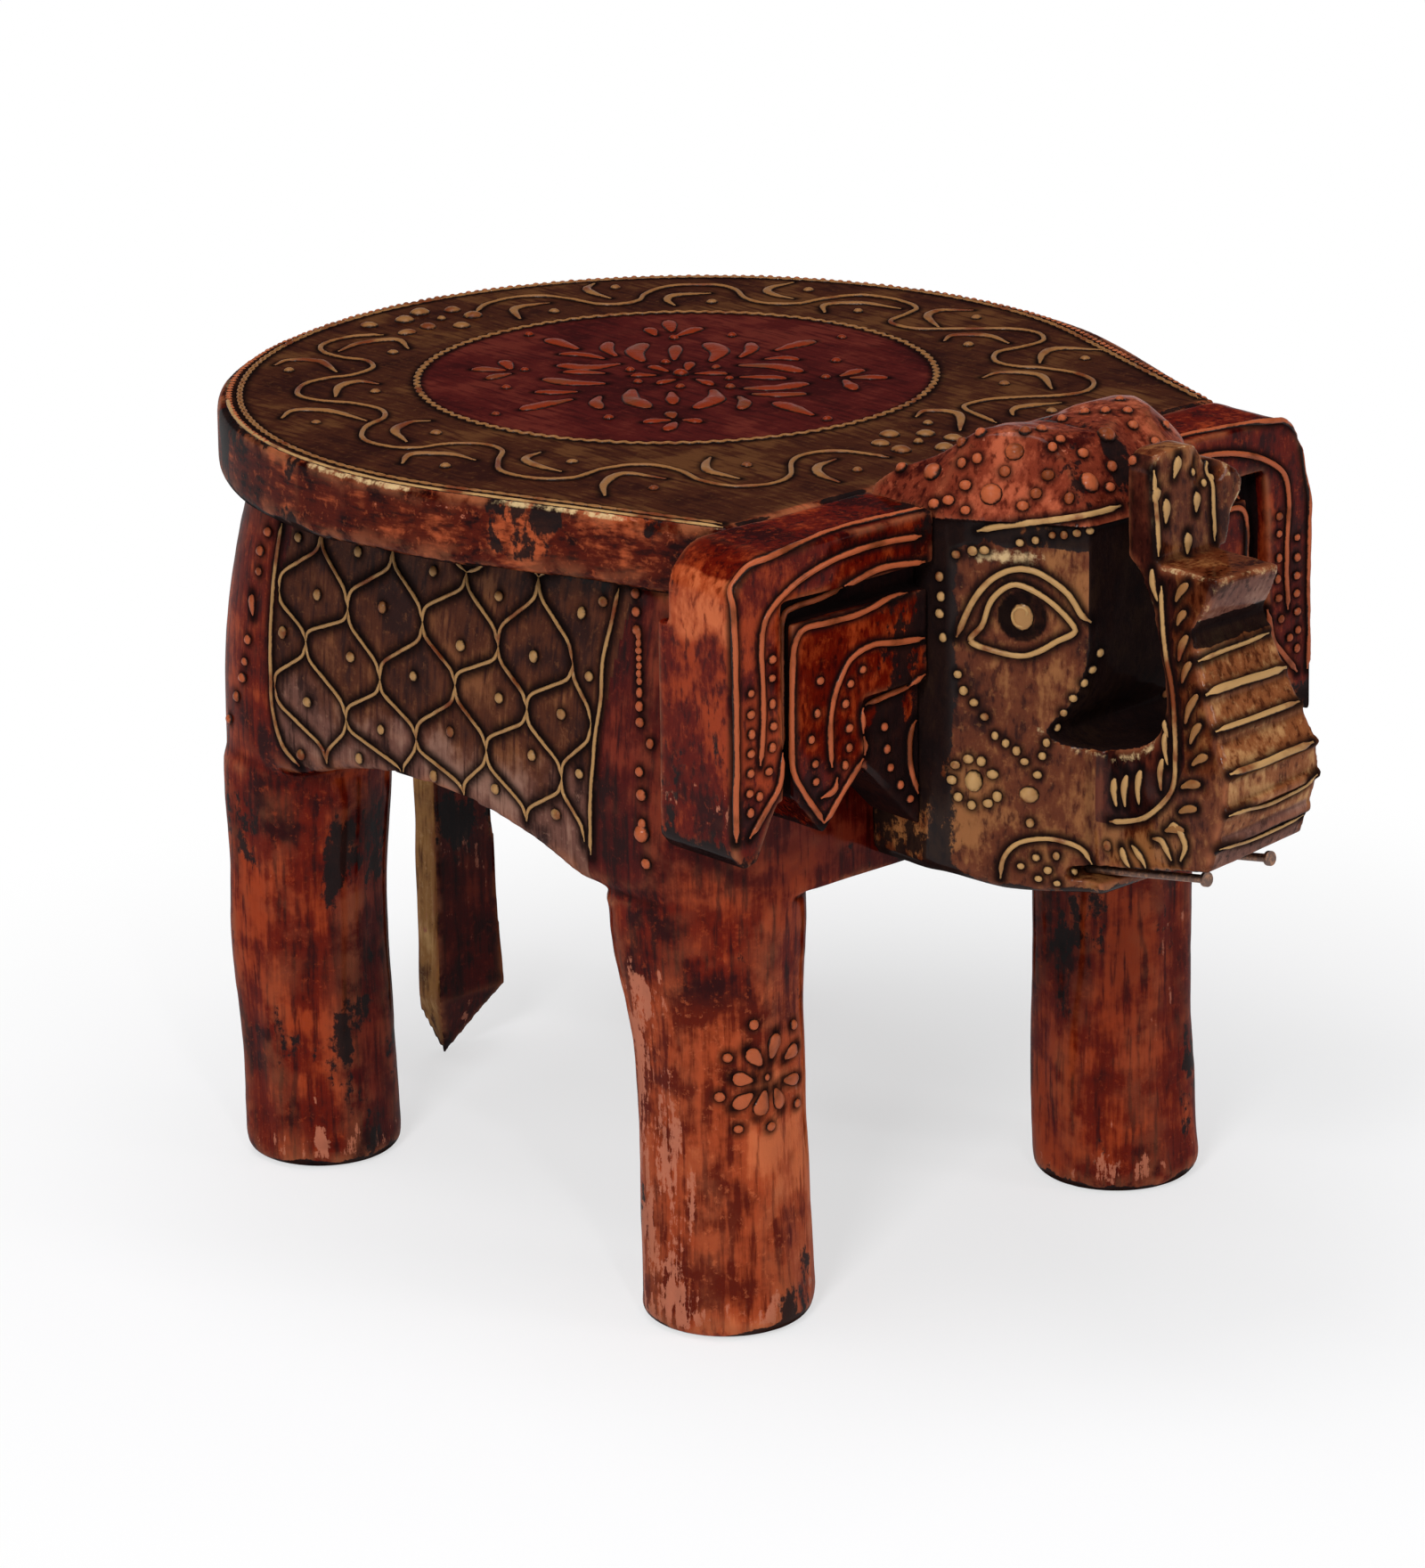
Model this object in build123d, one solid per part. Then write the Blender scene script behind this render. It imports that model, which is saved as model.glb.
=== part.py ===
from build123d import *
import os
from math import atan, cos, degrees, log, pi, sin

# Carved elephant stool, millimetres, +Z up.  The elephant faces -Y and its right side is -X.
# The pieces are drawn about the centre of the round seat, on the floor, and are moved at export
# so that the origin is under the middle of the whole stool.

# --- Driving dimensions: seat board -------------------------------------------------------------
seat_height = 182.5           # floor to the top of the seat
seat_thickness = 16.5
seat_radius = 101.6           # round back of the board, 8 in across
seat_front_half_width = 73.0  # half the straight front edge
front_reach = 96.0            # seat centre to the plane where seat, body, ears and head meet
seat_top_round = 1.5
seat_bottom_round = 4.0

# --- Body block ---------------------------------------------------------------------------------
belly_height = 98.0           # floor to the flat underside that the legs seat on
body_side_inset = 20.6        # the flanks stand this far inside the rim of the seat
body_rear_inset = 17.6        # the rump stands this far inside the rim of the seat
body_top_inset = 6.5          # how far the flanks and rump draw in under the seat
body_shoulder_drop = 32.0     # seat underside down to where the flanks start to draw in
body_shoulder_inset = 1.5
chest_corner_radius = 20.0
rump_corner_radius = 28.0
belly_arch_rise = 10.0        # arch of the belly between front and rear legs
belly_arch_margin = 2.0       # flat left between each leg and the arch

# --- Legs ---------------------------------------------------------------------------------------
front_leg_inset = 21.0        # flank of the body to the middle of the leg
front_leg_radius = 19.5       # the front legs stand flush with the front plane
front_foot_radius = 19.0
front_foot_step = 2.5         # the front feet stand this much further forward than the leg tops
rear_leg_inset = 19.0         # flank of the body to the middle of the leg
rear_leg_setback = 24.0       # rump of the body to the middle of the leg
rear_leg_radius = 18.7
rear_foot_radius = 17.4
rear_foot_step = -1.0         # the rear feet stand slightly forward of the leg tops
leg_waist_height = 52.0
leg_waist_slim = 1.0          # the legs are this much slimmer in radius at the waist
foot_round = 3.0

# --- Head ---------------------------------------------------------------------------------------
head_half_width = 32.0        # where the head stands against the inner edges of the ears
face_half_width = 14.0        # narrow front end of the wedge-shaped face
cheek_round = 20.0            # where the side of the head turns into the face
brow_reach = 143.5            # seat centre to the forehead
chin_height = 98.0            # floor to the back of the chin
jaw_reach = 147.0             # seat centre to the tip of the lower jaw
jaw_rise = 1.5                # underside of the jaw at its tip, above the back of the chin
jaw_thickness = 4.0           # underside of the jaw to the lower lip
chin_round = 4.0
mouth_gap = 2.0               # at the back of the mouth
mouth_front_gap = 10.0        # at the front, where the trunk rises away from the lower lip
mouth_depth = 8.0             # how far the mouth is cut back behind the tip of the jaw
cap_rise = 16.3               # top of the two domes above the seat
cap_side_rise = 1.0           # upright outer side of each dome above the brow line
cap_peak_share = 0.42         # peak of each dome, as a share of the half width out from the middle
cap_fullness = 0.85           # below 1 the domes are rounder than a sine, above 1 more peaked
cap_back_rise = 1.5           # back edge of the cap above the seat
cap_brow_drop = 2.0           # brow line below the seat top
cap_half_width = 33.0
cap_valley_depth = 6.0
cap_overhang = 1.5            # brow of the cap in front of the forehead
cap_slope = 32.0              # degrees that the front and the sides of the cap lean in

# --- Trunk, raised in a curl; each rise is measured up from the lower lip -----------------------
trunk_reach = 184.0           # seat centre to the front of the ribs
trunk_half_width = 13.6
trunk_neck_rise = 58.5
trunk_neck_setback = 14.0     # neck under the lip behind the foremost point
trunk_toe_setback = 4.0       # bottom front edge behind the foremost point
rib_count = 6
rib_radius = 1.1
rib_pitch = 7.8
rib_bottom_rise = 15.5
lip_top_rise = 71.0           # flat top of the forward lip
lip_setback = 9.0             # front edge of the lip behind the foremost point
lip_thickness = 1.5
lip_length = 17.3             # front edge of the lip back to the rear lobe
lobe_lean = 2.0               # the rear lobe leans back by this much over its height
tip_top_rise = 95.0           # top of the rear lobe
tip_half_width = 9.2
tip_left_half_width = 5.5     # at the top, where the knob stands beside it on the elephant's left
tip_round = 6.0               # rounded shoulders of the rear lobe
tip_thickness = 6.5
# Knob on the elephant's left of the rear lobe: distance from the middle, and rise above the lip.
tip_knob = [(12.0, 0.0), (14.7, 9.0), (13.6, 14.5), (10.5, 18.2), (5.5, 18.2)]
tip_knob_round = 2.5
curl_front_rise = 38.5        # where the hollow is deepest into the back of the trunk
# Outline of the hollow inside the curl: distance back under the forehead, and rise.
curl_undercut = [(0.0, 53.5), (1.0, 45.0), (4.5, 36.5), (7.5, 31.5)]
# The same outline along its floor and up the back of the trunk: setback from the foremost point, and rise.
curl_front = [(44.0, 29.5), (35.0, 30.0), (24.5, 34.5), (21.5, 42.0), (23.0, 51.0), (26.5, 61.0)]

# --- Ears: a slab with three overlapping pleats -------------------------------------------------
right_ear_inset = 12.6        # rim of the seat to the outer edge; the carver made the two unequal
left_ear_inset = 18.6
ear_corner_radius = 11.0
ear_slab_thickness = 14.0     # behind the pleats
ear_wrap = 3.5                # the outer edge reaches this far back round the corner of the body
ear_wrap_width = 12.0
outer_pleat_thickness = 6.0   # flush with the front of the ear
middle_pleat_thickness = 4.0
inner_pleat_thickness = 1.5
slot_inward = 14.0            # outer pleat: width of its upright band
slot_drop = 11.5              # outer pleat: height of its top band
slot_width = 4.3              # dark groove between the outer and the middle pleat, upright
slot_height = 6.0             # the same groove under the top band
inner_inward = 38.5           # ear's outer edge to the inner pleat
inner_drop = 37.5             # seat top to the inner pleat
# The scalloped lower edge: distance in from the outer edge, and distance below the seat top.
ear_scallops = [(0.0, 63.0), (3.0, 66.5), (6.5, 65.5), (12.5, 54.0), (18.5, 55.0)]
ear_scallops += [(26.6, 64.5), (38.5, 52.0), (58.0, 70.5)]

# --- Tail ---------------------------------------------------------------------------------------
tail_half_width = 9.5
tail_waist_half_width = 8.6
tail_foot_half_width = 10.3
tail_waist_height = 70.0
tail_thickness = 10.0
tail_chamfer = 3.0
tail_lean = 3.0               # the tail leans this far forward at its foot
tail_tip_offset = -5.0        # the point was cut off-centre, to the elephant's right
tail_tip_height = 0.5
tail_point_height = 16.0      # where the taper to the tip starts
tail_seat_depth = 2.0         # how far the tail's front face stands inside the rump line

# --- Joinery and nails --------------------------------------------------------------------------
leg_dowel_radius = 5.0
leg_dowel_depth = 22.0        # into each of the two pieces that it joins
seat_dowel_radius = 4.0
seat_dowel_depth = 10.0       # into the seat
seat_dowel_root = 16.0        # into the body
seat_dowel_x = 48.0
seat_dowel_front = 44.0
seat_dowel_rear = 40.0
head_dowel_radius = 4.0
head_dowel_depth = 20.0
head_dowel_x = 17.0
head_dowel_drops = [18.0, 44.0]    # below the seat underside
ear_dowel_radius = 3.0
ear_dowel_depth = 11.0
ear_dowel_x = 47.0
ear_dowel_drops = [8.0, 24.0]      # below the seat underside
tail_dowel_radius = 3.0
tail_dowel_depth = 12.0       # into the body
tail_dowel_cover = 3.0        # wood left behind the dowel's blind end
tail_dowel_drop = 40.0        # below the seat underside
nail_radius = 0.9
nail_head_radius = 1.6
nail_head_thickness = 0.8
nail_x = 9.5
nail_reach = 173.5            # seat centre to the nail heads
nail_drop = 1.6               # nail axis below the underside of the trunk
nail_hold = 16.0              # length of shank driven into the head behind the mouth

# --- Worked out from the above ------------------------------------------------------------------
seat_underside = seat_height - seat_thickness
seat_y = (trunk_reach - seat_radius) / 2
body_half_width = seat_radius - body_side_inset
body_rear_reach = seat_radius - body_rear_inset
front_leg_x = body_half_width - front_leg_inset
front_leg_y = front_reach - front_leg_radius
rear_leg_x = body_half_width - rear_leg_inset
rear_leg_y = body_rear_reach - rear_leg_setback
right_ear_reach = seat_radius - right_ear_inset
left_ear_reach = seat_radius - left_ear_inset
ear_thickness = ear_slab_thickness + outer_pleat_thickness
cheek_reach = front_reach + ear_thickness
jaw_height = chin_height + jaw_rise
mouth_height = jaw_height + jaw_thickness
mouth_back = jaw_reach - mouth_depth
mouth_slope = (mouth_front_gap - mouth_gap) / (trunk_reach - mouth_back)
rib_bottom_height = mouth_height + rib_bottom_rise
trunk_bulge_height = rib_bottom_height + rib_pitch    # the second rib is the foremost point
trunk_bulge_reach = trunk_reach - rib_radius
trunk_neck_height = mouth_height + trunk_neck_rise
trunk_neck_reach = trunk_reach - trunk_neck_setback
lip_top_height = mouth_height + lip_top_rise
tip_top_height = mouth_height + tip_top_rise
curl_front_height = mouth_height + curl_front_rise
toe_height = mouth_height + mouth_gap + mouth_slope * (trunk_reach - trunk_toe_setback - mouth_back)
lip_reach = trunk_reach - lip_setback
lobe_front_reach = lip_reach - lip_length
tip_front_reach = lobe_front_reach - lobe_lean
tip_back_reach = tip_front_reach - tip_thickness


touch = 0.01                  # two places closer than this are the same place
nearly_along = cos(pi / 12)   # cosine of the widest angle that still counts as one direction


def mirrored_in_x(shape):
    """The shape and its mirror image about the middle of the stool."""
    return [shape, mirror(shape, Plane.YZ)]


def cylinder_up(radius, length, x, y, z):
    """Upright cylinder standing on (x, y, z)."""
    return Pos(x, y, z + length / 2) * Cylinder(radius, length)


def cylinder_back(radius, length, x, y, z):
    """Cylinder that runs back along +Y from (x, y, z)."""
    return Pos(x, y + length / 2, z) * Rot(90, 0, 0) * Cylinder(radius, length)


def side_profile(points, half_width):
    """Closed outline in (forward reach, height), extruded across the stool."""
    face = make_face(Polyline([(0, -reach, height) for reach, height in points], close=True))
    return extrude(face, amount=half_width, dir=(1, 0, 0), both=True)


def front_profile(points, reach_back, reach_front):
    """Closed outline in (x, height), extruded from reach_back to reach_front."""
    face = make_face(Polyline([(x, -reach_back, height) for x, height in points], close=True))
    return extrude(face, amount=reach_front - reach_back, dir=(0, -1, 0))


# --- Seat ---------------------------------------------------------------------------------------
def make_seat():
    rim = CenterArc((0, 0), seat_radius, 0, 360)
    front_edge = Line((-seat_front_half_width, -front_reach), (seat_front_half_width, -front_reach))
    outline = make_hull([rim, front_edge])
    ahead = Pos(0, -front_reach - seat_radius / 2) * Rectangle(4 * seat_radius, seat_radius)
    board = Pos(0, 0, seat_underside) * extrude(outline - ahead, amount=seat_thickness)
    top_edges = board.faces().sort_by(Axis.Z)[-1].edges().filter_by(lambda e: not on_front(e))
    board = fillet(top_edges, seat_top_round)
    bottom_edges = board.faces().sort_by(Axis.Z)[0].edges().filter_by(lambda e: not on_front(e))
    return fillet(bottom_edges, seat_bottom_round)


def on_front(edge):
    """True for an edge that lies in the plane where the ears and the head butt."""
    return abs(edge.bounding_box().max.Y + front_reach) < touch


# --- Body block ---------------------------------------------------------------------------------
def body_section(height, inset):
    """Rounded outline of the body at one height, drawn in by inset at the flanks and the rump."""
    half_width = body_half_width - inset
    rear = body_rear_reach - inset
    sheet = Pos(0, (rear - front_reach) / 2) * Rectangle(2 * half_width, rear + front_reach)
    corners = sheet.vertices().sort_by(Axis.Y)
    sheet = fillet(corners[:2], chest_corner_radius)
    corners = sheet.vertices().filter_by(lambda v: v.Y > rear - touch)
    sheet = fillet(corners, rump_corner_radius)
    return Pos(0, 0, height) * sheet


def make_body():
    shoulder = seat_underside - body_shoulder_drop
    sections = [
        body_section(belly_height, 0),
        body_section(shoulder, body_shoulder_inset),
        body_section(seat_underside, body_top_inset),
    ]
    return loft(sections) - belly_arch()


def belly_arch():
    """Shallow arch cut across the belly between the front and the rear legs."""
    start = front_leg_y - front_leg_radius - belly_arch_margin
    end = rear_leg_y - rear_leg_radius - belly_arch_margin
    half_chord = (start + end) / 2
    radius = (half_chord**2 + belly_arch_rise**2) / (2 * belly_arch_rise)
    centre_z = belly_height + belly_arch_rise - radius
    arch = Rot(0, 90, 0) * Cylinder(radius, 4 * body_half_width)
    return Pos(0, (end - start) / 2, centre_z) * arch


# --- Legs ---------------------------------------------------------------------------------------
def make_leg(x, y, top_radius, foot_radius, foot_step):
    """One leg on the +X side; the foot stands foot_step away from the top along Y."""
    waist_share = leg_waist_height / belly_height
    waist_radius = foot_radius + (top_radius - foot_radius) * waist_share - leg_waist_slim
    foot_y = y + foot_step
    waist_y = foot_y + (y - foot_y) * waist_share
    rings = [
        Pos(x, foot_y, 0) * Circle(foot_radius),
        Pos(x, waist_y, leg_waist_height) * Circle(waist_radius),
        Pos(x, y, belly_height) * Circle(top_radius),
    ]
    leg = loft(rings)
    return fillet(leg.faces().sort_by(Axis.Z)[0].edges(), foot_round)


def leg_dowel(x, y):
    return cylinder_up(leg_dowel_radius, 2 * leg_dowel_depth, x, y, belly_height - leg_dowel_depth)


# --- Head and trunk -----------------------------------------------------------------------------
def make_skull():
    """Wedge-shaped face: a plan outline cut by the line of the chin and the jaw."""
    right = [
        (head_half_width, -front_reach),
        (head_half_width, -cheek_reach),
        (face_half_width, -brow_reach),
        (face_half_width, -jaw_reach),
    ]
    left = [(-x, y) for x, y in reversed(right)]
    plan = make_face(Polyline(right + left, close=True))
    cheeks = plan.vertices().filter_by(lambda v: abs(v.Y + cheek_reach) < touch)
    block = extrude(fillet(cheeks, cheek_round), amount=seat_height)
    brow = seat_height - cap_brow_drop
    profile = [
        (front_reach, chin_height),
        (jaw_reach, jaw_height),
        (jaw_reach, curl_front_height),
        (brow_reach, curl_front_height),
        (brow_reach, brow),
        (front_reach, brow),
    ]
    skull = block & side_profile(profile, head_half_width)
    under = skull.faces().sort_by(Axis.Z)[0].edges().filter_by(lambda e: not on_front(e))
    return fillet(under, chin_round)


def make_cap():
    """Two domes with a valley between them, standing on the wedge of the face."""
    top = seat_height + cap_rise
    back = seat_height + cap_back_rise
    brow = seat_height - cap_brow_drop
    brow_front = brow_reach + cap_overhang
    middle = (front_reach + brow_front) / 2
    crown = Spline((0, -front_reach, back), (0, -middle, top), (0, -brow_front, brow))
    base = Polyline((0, -brow_front, brow), (0, -front_reach, brow), (0, -front_reach, back))
    side = extrude(make_face([crown, base]), amount=cap_half_width, dir=(1, 0, 0), both=True)
    right = [
        (cap_half_width, 0),
        (cap_half_width, -cheek_reach),
        (face_half_width + cap_overhang, -brow_front),
    ]
    outline = [(-x, y) for x, y in right] + right[::-1]
    plan = make_face(Polyline([(x, y, brow) for x, y in outline], close=True))
    wedge = extrude(plan, amount=top - brow, taper=cap_slope)
    return side & front_profile(dome_outline(brow, top), front_reach, brow_front) & wedge


def dome_outline(brow, top):
    """Outline of the two domes seen from the front, as (x, height) points."""
    steps = 8
    side = brow + cap_side_rise
    valley = top - cap_valley_depth
    dome = [(cap_half_width, brow)]
    skew = log(0.5) / log(1 - cap_peak_share)
    for i in range(steps + 1):
        share = i / steps
        x = cap_half_width * (1 - share)
        rise = max(0.0, sin(pi * share**skew)) ** cap_fullness
        floor = side + (valley - side) * share
        dome.append((x, floor + (top - floor) * rise))
    mirrored = [(-x, z) for x, z in reversed(dome[:-1])]
    return dome + mirrored


def make_trunk():
    """Raised trunk: a side outline with a lip and a rear lobe, narrowed towards the tip.

    The rear lobe has a lower knob beside it, where the second nostril was carved.
    """
    side = side_profile(
        [
            (mouth_back, mouth_height + mouth_gap),
            (trunk_bulge_reach - trunk_toe_setback, toe_height),
            (trunk_bulge_reach, trunk_bulge_height),
            (trunk_neck_reach, trunk_neck_height),
            (lip_reach, lip_top_height - lip_thickness),
            (lip_reach, lip_top_height),
            (lobe_front_reach, lip_top_height),
            (tip_front_reach, tip_top_height),
            (tip_back_reach, tip_top_height),
            (tip_back_reach, curl_front_height),
            (mouth_back, curl_front_height),
        ],
        max(x for x, _ in tip_knob),
    )
    right = [
        (trunk_half_width, mouth_height),
        (trunk_half_width, trunk_bulge_height),
        (tip_half_width, lip_top_height),
    ]
    left = [(-x, z) for x, z in reversed(right)]
    top = [(tip_left_half_width, tip_top_height), (-tip_half_width, tip_top_height)]
    front = front_profile(right + top + left, mouth_back, trunk_reach)
    shoulders = front.edges().filter_by(Axis.Y).sort_by(Axis.Z)[-2:]
    return side & (fillet(shoulders, tip_round) + make_knob())


def make_knob():
    """Front outline of the knob, rounded where it stands free of the lobe."""
    outline = [(0.0, lip_top_height)] + [(x, lip_top_height + rise) for x, rise in tip_knob]
    outline.append((0.0, outline[-1][1]))
    knob = front_profile(outline, mouth_back, trunk_reach)
    free = knob.edges().filter_by(Axis.Y).filter_by(
        lambda e: (e @ 0.5).X > tip_left_half_width and (e @ 0.5).Z > lip_top_height + tip_knob_round
    )
    return fillet(free, tip_knob_round)


def curl_hollow():
    """Open space between the forehead and the raised trunk, rounded at the bottom."""
    above = tip_top_height + rib_radius
    behind_tip = (0, -tip_back_reach, lip_top_height)
    outline = [(0, back - brow_reach, mouth_height + rise) for back, rise in curl_undercut]
    outline += [(0, setback - trunk_reach, mouth_height + rise) for setback, rise in curl_front]
    outline.append(behind_tip)
    bowl = Spline(*outline)
    walls = Polyline(behind_tip, (0, -tip_back_reach, above), (0, -brow_reach, above), outline[0])
    return extrude(make_face([bowl, walls]), amount=head_half_width, dir=(1, 0, 0), both=True)


def rib_place(index):
    """Reach, height and half width of one rib on the sloping front of the trunk."""
    height = rib_bottom_height + index * rib_pitch
    if height > trunk_bulge_height:
        share = (height - trunk_bulge_height) / (trunk_neck_height - trunk_bulge_height)
        reach = trunk_bulge_reach + (trunk_neck_reach - trunk_bulge_reach) * share
    else:
        share = (height - toe_height) / (trunk_bulge_height - toe_height)
        reach = trunk_bulge_reach - trunk_toe_setback * (1 - share)
    slim = max(0.0, height - trunk_bulge_height) / (lip_top_height - trunk_bulge_height)
    return reach, height, trunk_half_width + (tip_half_width - trunk_half_width) * slim


def make_ribs():
    ribs = []
    for index in range(rib_count):
        reach, height, half_width = rib_place(index)
        ribs.append(Pos(0, -reach, height) * Rot(0, 90, 0) * Cylinder(rib_radius, 2 * half_width))
    return ribs


def make_mouth():
    """Slit that opens forward between the lower lip and the underside of the trunk."""
    outline = [
        (mouth_back, mouth_height),
        (trunk_reach, mouth_height),
        (trunk_reach, mouth_height + mouth_front_gap),
        (mouth_back, mouth_height + mouth_gap),
    ]
    return side_profile(outline, head_half_width)


def make_head():
    head = make_skull() + make_trunk() - curl_hollow() - make_mouth()
    for rib in make_ribs():
        head += rib
    return head + make_cap()


# --- Ears ---------------------------------------------------------------------------------------
def ear_sheet(reach):
    """Flat outline of the +X ear in (x, height), against the side of the head."""
    lower = [(max(reach - inward, head_half_width), seat_height - below) for inward, below in ear_scallops]
    edge = [(head_half_width, seat_height), (reach, seat_height)] + lower
    if lower[-1][0] > head_half_width:
        edge.append((head_half_width, lower[-1][1]))
    sheet = make_face(Polyline(edge, close=True))
    corner = sheet.vertices().sort_by(lambda v: v.X + v.Y)[-1]
    return fillet(corner, ear_corner_radius)


def ear_layer(sheet, back, thickness):
    """A sheet drawn in (x, height), stood up and extruded forward from its back plane."""
    return Pos(0, -back, 0) * Rot(90, 0, 0) * extrude(sheet, amount=thickness)


def inside(sheet, reach, inward, drop):
    """The part of the sheet that lies inward of its outer edge and below its top edge."""
    size = 2 * reach
    corner = Pos(reach - inward - size / 2, seat_height - drop - size / 2)
    return sheet & (corner * Rectangle(size, size))


def make_ear(reach):
    sheet = ear_sheet(reach)
    pleats_back = front_reach + ear_slab_thickness
    wrap_middle = Pos(reach, seat_underside - seat_height / 2)
    outer_edge = sheet & (wrap_middle * Rectangle(2 * ear_wrap_width, seat_height))
    grooved = inside(sheet, reach, slot_inward, slot_drop)
    middle = inside(sheet, reach, slot_inward + slot_width, slot_drop + slot_height)
    inner = inside(sheet, reach, inner_inward, inner_drop)
    ear = ear_layer(sheet, front_reach, ear_slab_thickness)
    ear += ear_layer(outer_edge, front_reach - ear_wrap, ear_wrap)
    ear += ear_layer(sheet - grooved, pleats_back, outer_pleat_thickness)
    ear += ear_layer(middle - inner, pleats_back, middle_pleat_thickness)
    return ear + ear_layer(inner, pleats_back, inner_pleat_thickness)


# --- Tail ---------------------------------------------------------------------------------------
def make_tail(body):
    """Faceted stick that follows the rump and hangs almost to the floor."""
    front = body_rear_reach - tail_seat_depth
    back = front + tail_thickness
    middle = (front + back) / 2
    inner = body_rear_reach - body_top_inset - tail_seat_depth
    outline = [
        (tail_lean - middle, tail_tip_height),
        (tail_lean - front, tail_point_height),
        (-front, belly_height),
        (-inner, seat_underside),
        (-back, seat_underside),
        (-back, belly_height),
        (tail_lean - back, tail_point_height),
    ]
    stick = side_profile(outline, tail_foot_half_width)
    right = [
        (tail_foot_half_width, tail_point_height),
        (tail_waist_half_width, tail_waist_height),
        (tail_half_width, seat_underside),
    ]
    left = [(-x, z) for x, z in reversed(right)]
    stick = stick & front_profile([(tail_tip_offset, tail_tip_height)] + right + left, -back, 0)
    rear_faces = stick.faces().filter_by(lambda f: f.normal_at().Y > nearly_along)
    long_edges = rear_faces.edges().filter_by(lambda e: abs(e.tangent_at(0.5).Z) > nearly_along)
    return chamfer(long_edges, tail_chamfer) - body


# --- Dowels and nails ---------------------------------------------------------------------------
def seat_dowels():
    length = seat_dowel_depth + seat_dowel_root
    foot = seat_underside - seat_dowel_root
    dowels = []
    for y in (-seat_dowel_front, seat_dowel_rear):
        dowels += mirrored_in_x(cylinder_up(seat_dowel_radius, length, seat_dowel_x, y, foot))
    return dowels


def front_dowels(radius, depth, x, drops):
    """Dowels through the front plane, mirrored, at each drop below the seat underside."""
    dowels = []
    for drop in drops:
        z = seat_underside - drop
        dowels += mirrored_in_x(cylinder_back(radius, 2 * depth, x, -front_reach - depth, z))
    return dowels


def tail_dowel():
    back = body_rear_reach - tail_seat_depth + tail_thickness - tail_dowel_cover
    start = body_rear_reach - tail_dowel_depth
    return cylinder_back(tail_dowel_radius, back - start, 0, start, seat_underside - tail_dowel_drop)


def make_nail():
    """Wire nail on the +X side that once held a tusk; it runs along the underside of the trunk."""
    z = mouth_height + mouth_gap + mouth_slope * (nail_reach - mouth_back) - nail_drop
    tilt = degrees(atan(mouth_slope))
    shank = (nail_reach - mouth_back) / cos(atan(mouth_slope)) + nail_hold
    nail = cylinder_back(nail_radius, shank, 0, 0, 0)
    nail += cylinder_back(nail_head_radius, nail_head_thickness, 0, 0, 0)
    return Pos(nail_x, -nail_reach, z) * Rot(-tilt, 0, 0) * nail


def without(piece, *groups):
    """The piece with every solid of the groups cut out of it."""
    for group in groups:
        for solid in group:
            piece -= solid
    return piece


# --- Assembly -----------------------------------------------------------------------------------
legs_front = (front_leg_x, -front_leg_y)
legs_rear = (rear_leg_x, rear_leg_y)
leg_pegs = mirrored_in_x(leg_dowel(*legs_front)) + mirrored_in_x(leg_dowel(*legs_rear))
seat_pegs = seat_dowels()
head_pegs = front_dowels(head_dowel_radius, head_dowel_depth, head_dowel_x, head_dowel_drops)
ear_pegs = front_dowels(ear_dowel_radius, ear_dowel_depth, ear_dowel_x, ear_dowel_drops)
tail_peg = tail_dowel()
nails = mirrored_in_x(make_nail())

plain_body = make_body()
body = without(plain_body, leg_pegs, seat_pegs, head_pegs, ear_pegs, [tail_peg])
front_leg = make_leg(*legs_front, front_leg_radius, front_foot_radius, -front_foot_step)
rear_leg = make_leg(*legs_rear, rear_leg_radius, rear_foot_radius, rear_foot_step)
left_front, right_front = mirrored_in_x(without(front_leg, leg_pegs))
left_rear, right_rear = mirrored_in_x(without(rear_leg, leg_pegs))
left_ear = without(make_ear(left_ear_reach), ear_pegs, [plain_body])
right_ear = mirror(without(make_ear(right_ear_reach), ear_pegs, [plain_body]), Plane.YZ)
head = without(make_head(), head_pegs, nails, [left_ear, right_ear])

nodes = {
    "seat_board": [without(make_seat(), seat_pegs)],
    "body_block": [body],
    "front_left_leg": [left_front],
    "front_right_leg": [right_front],
    "rear_left_leg": [left_rear],
    "rear_right_leg": [right_rear],
    "head_and_trunk": [head],
    "left_ear": [left_ear],
    "right_ear": [right_ear],
    "tail": [without(make_tail(plain_body), [tail_peg])],
    "leg_dowels": leg_pegs,
    "seat_dowels": seat_pegs,
    "head_dowels": head_pegs,
    "ear_dowels": ear_pegs,
    "tail_dowel": [tail_peg],
    "tusk_nails": nails,
}

os.makedirs("parts", exist_ok=True)
for name, shapes in nodes.items():
    solids = [Pos(0, seat_y, 0) * solid for shape in shapes for solid in shape.solids()]
    export_step(Compound(children=solids) if len(solids) > 1 else solids[0], f"parts/{name}.step")
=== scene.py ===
"""Carved elephant stool: carved forms, raised paste ornament, antiqued lacquer, camera and light.

Lengths in the functions are millimetres about the centre of the round seat, on the floor, with the
elephant facing -Y.  Objects are written in metres in the frame's own place.
"""
import bmesh
import bpy
import numpy as np
from math import acos, atan2, cos, hypot, pi, sin, sqrt
from mathutils import Matrix, Vector
from mathutils.bvhtree import BVHTree
from mathutils.kdtree import KDTree


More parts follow.
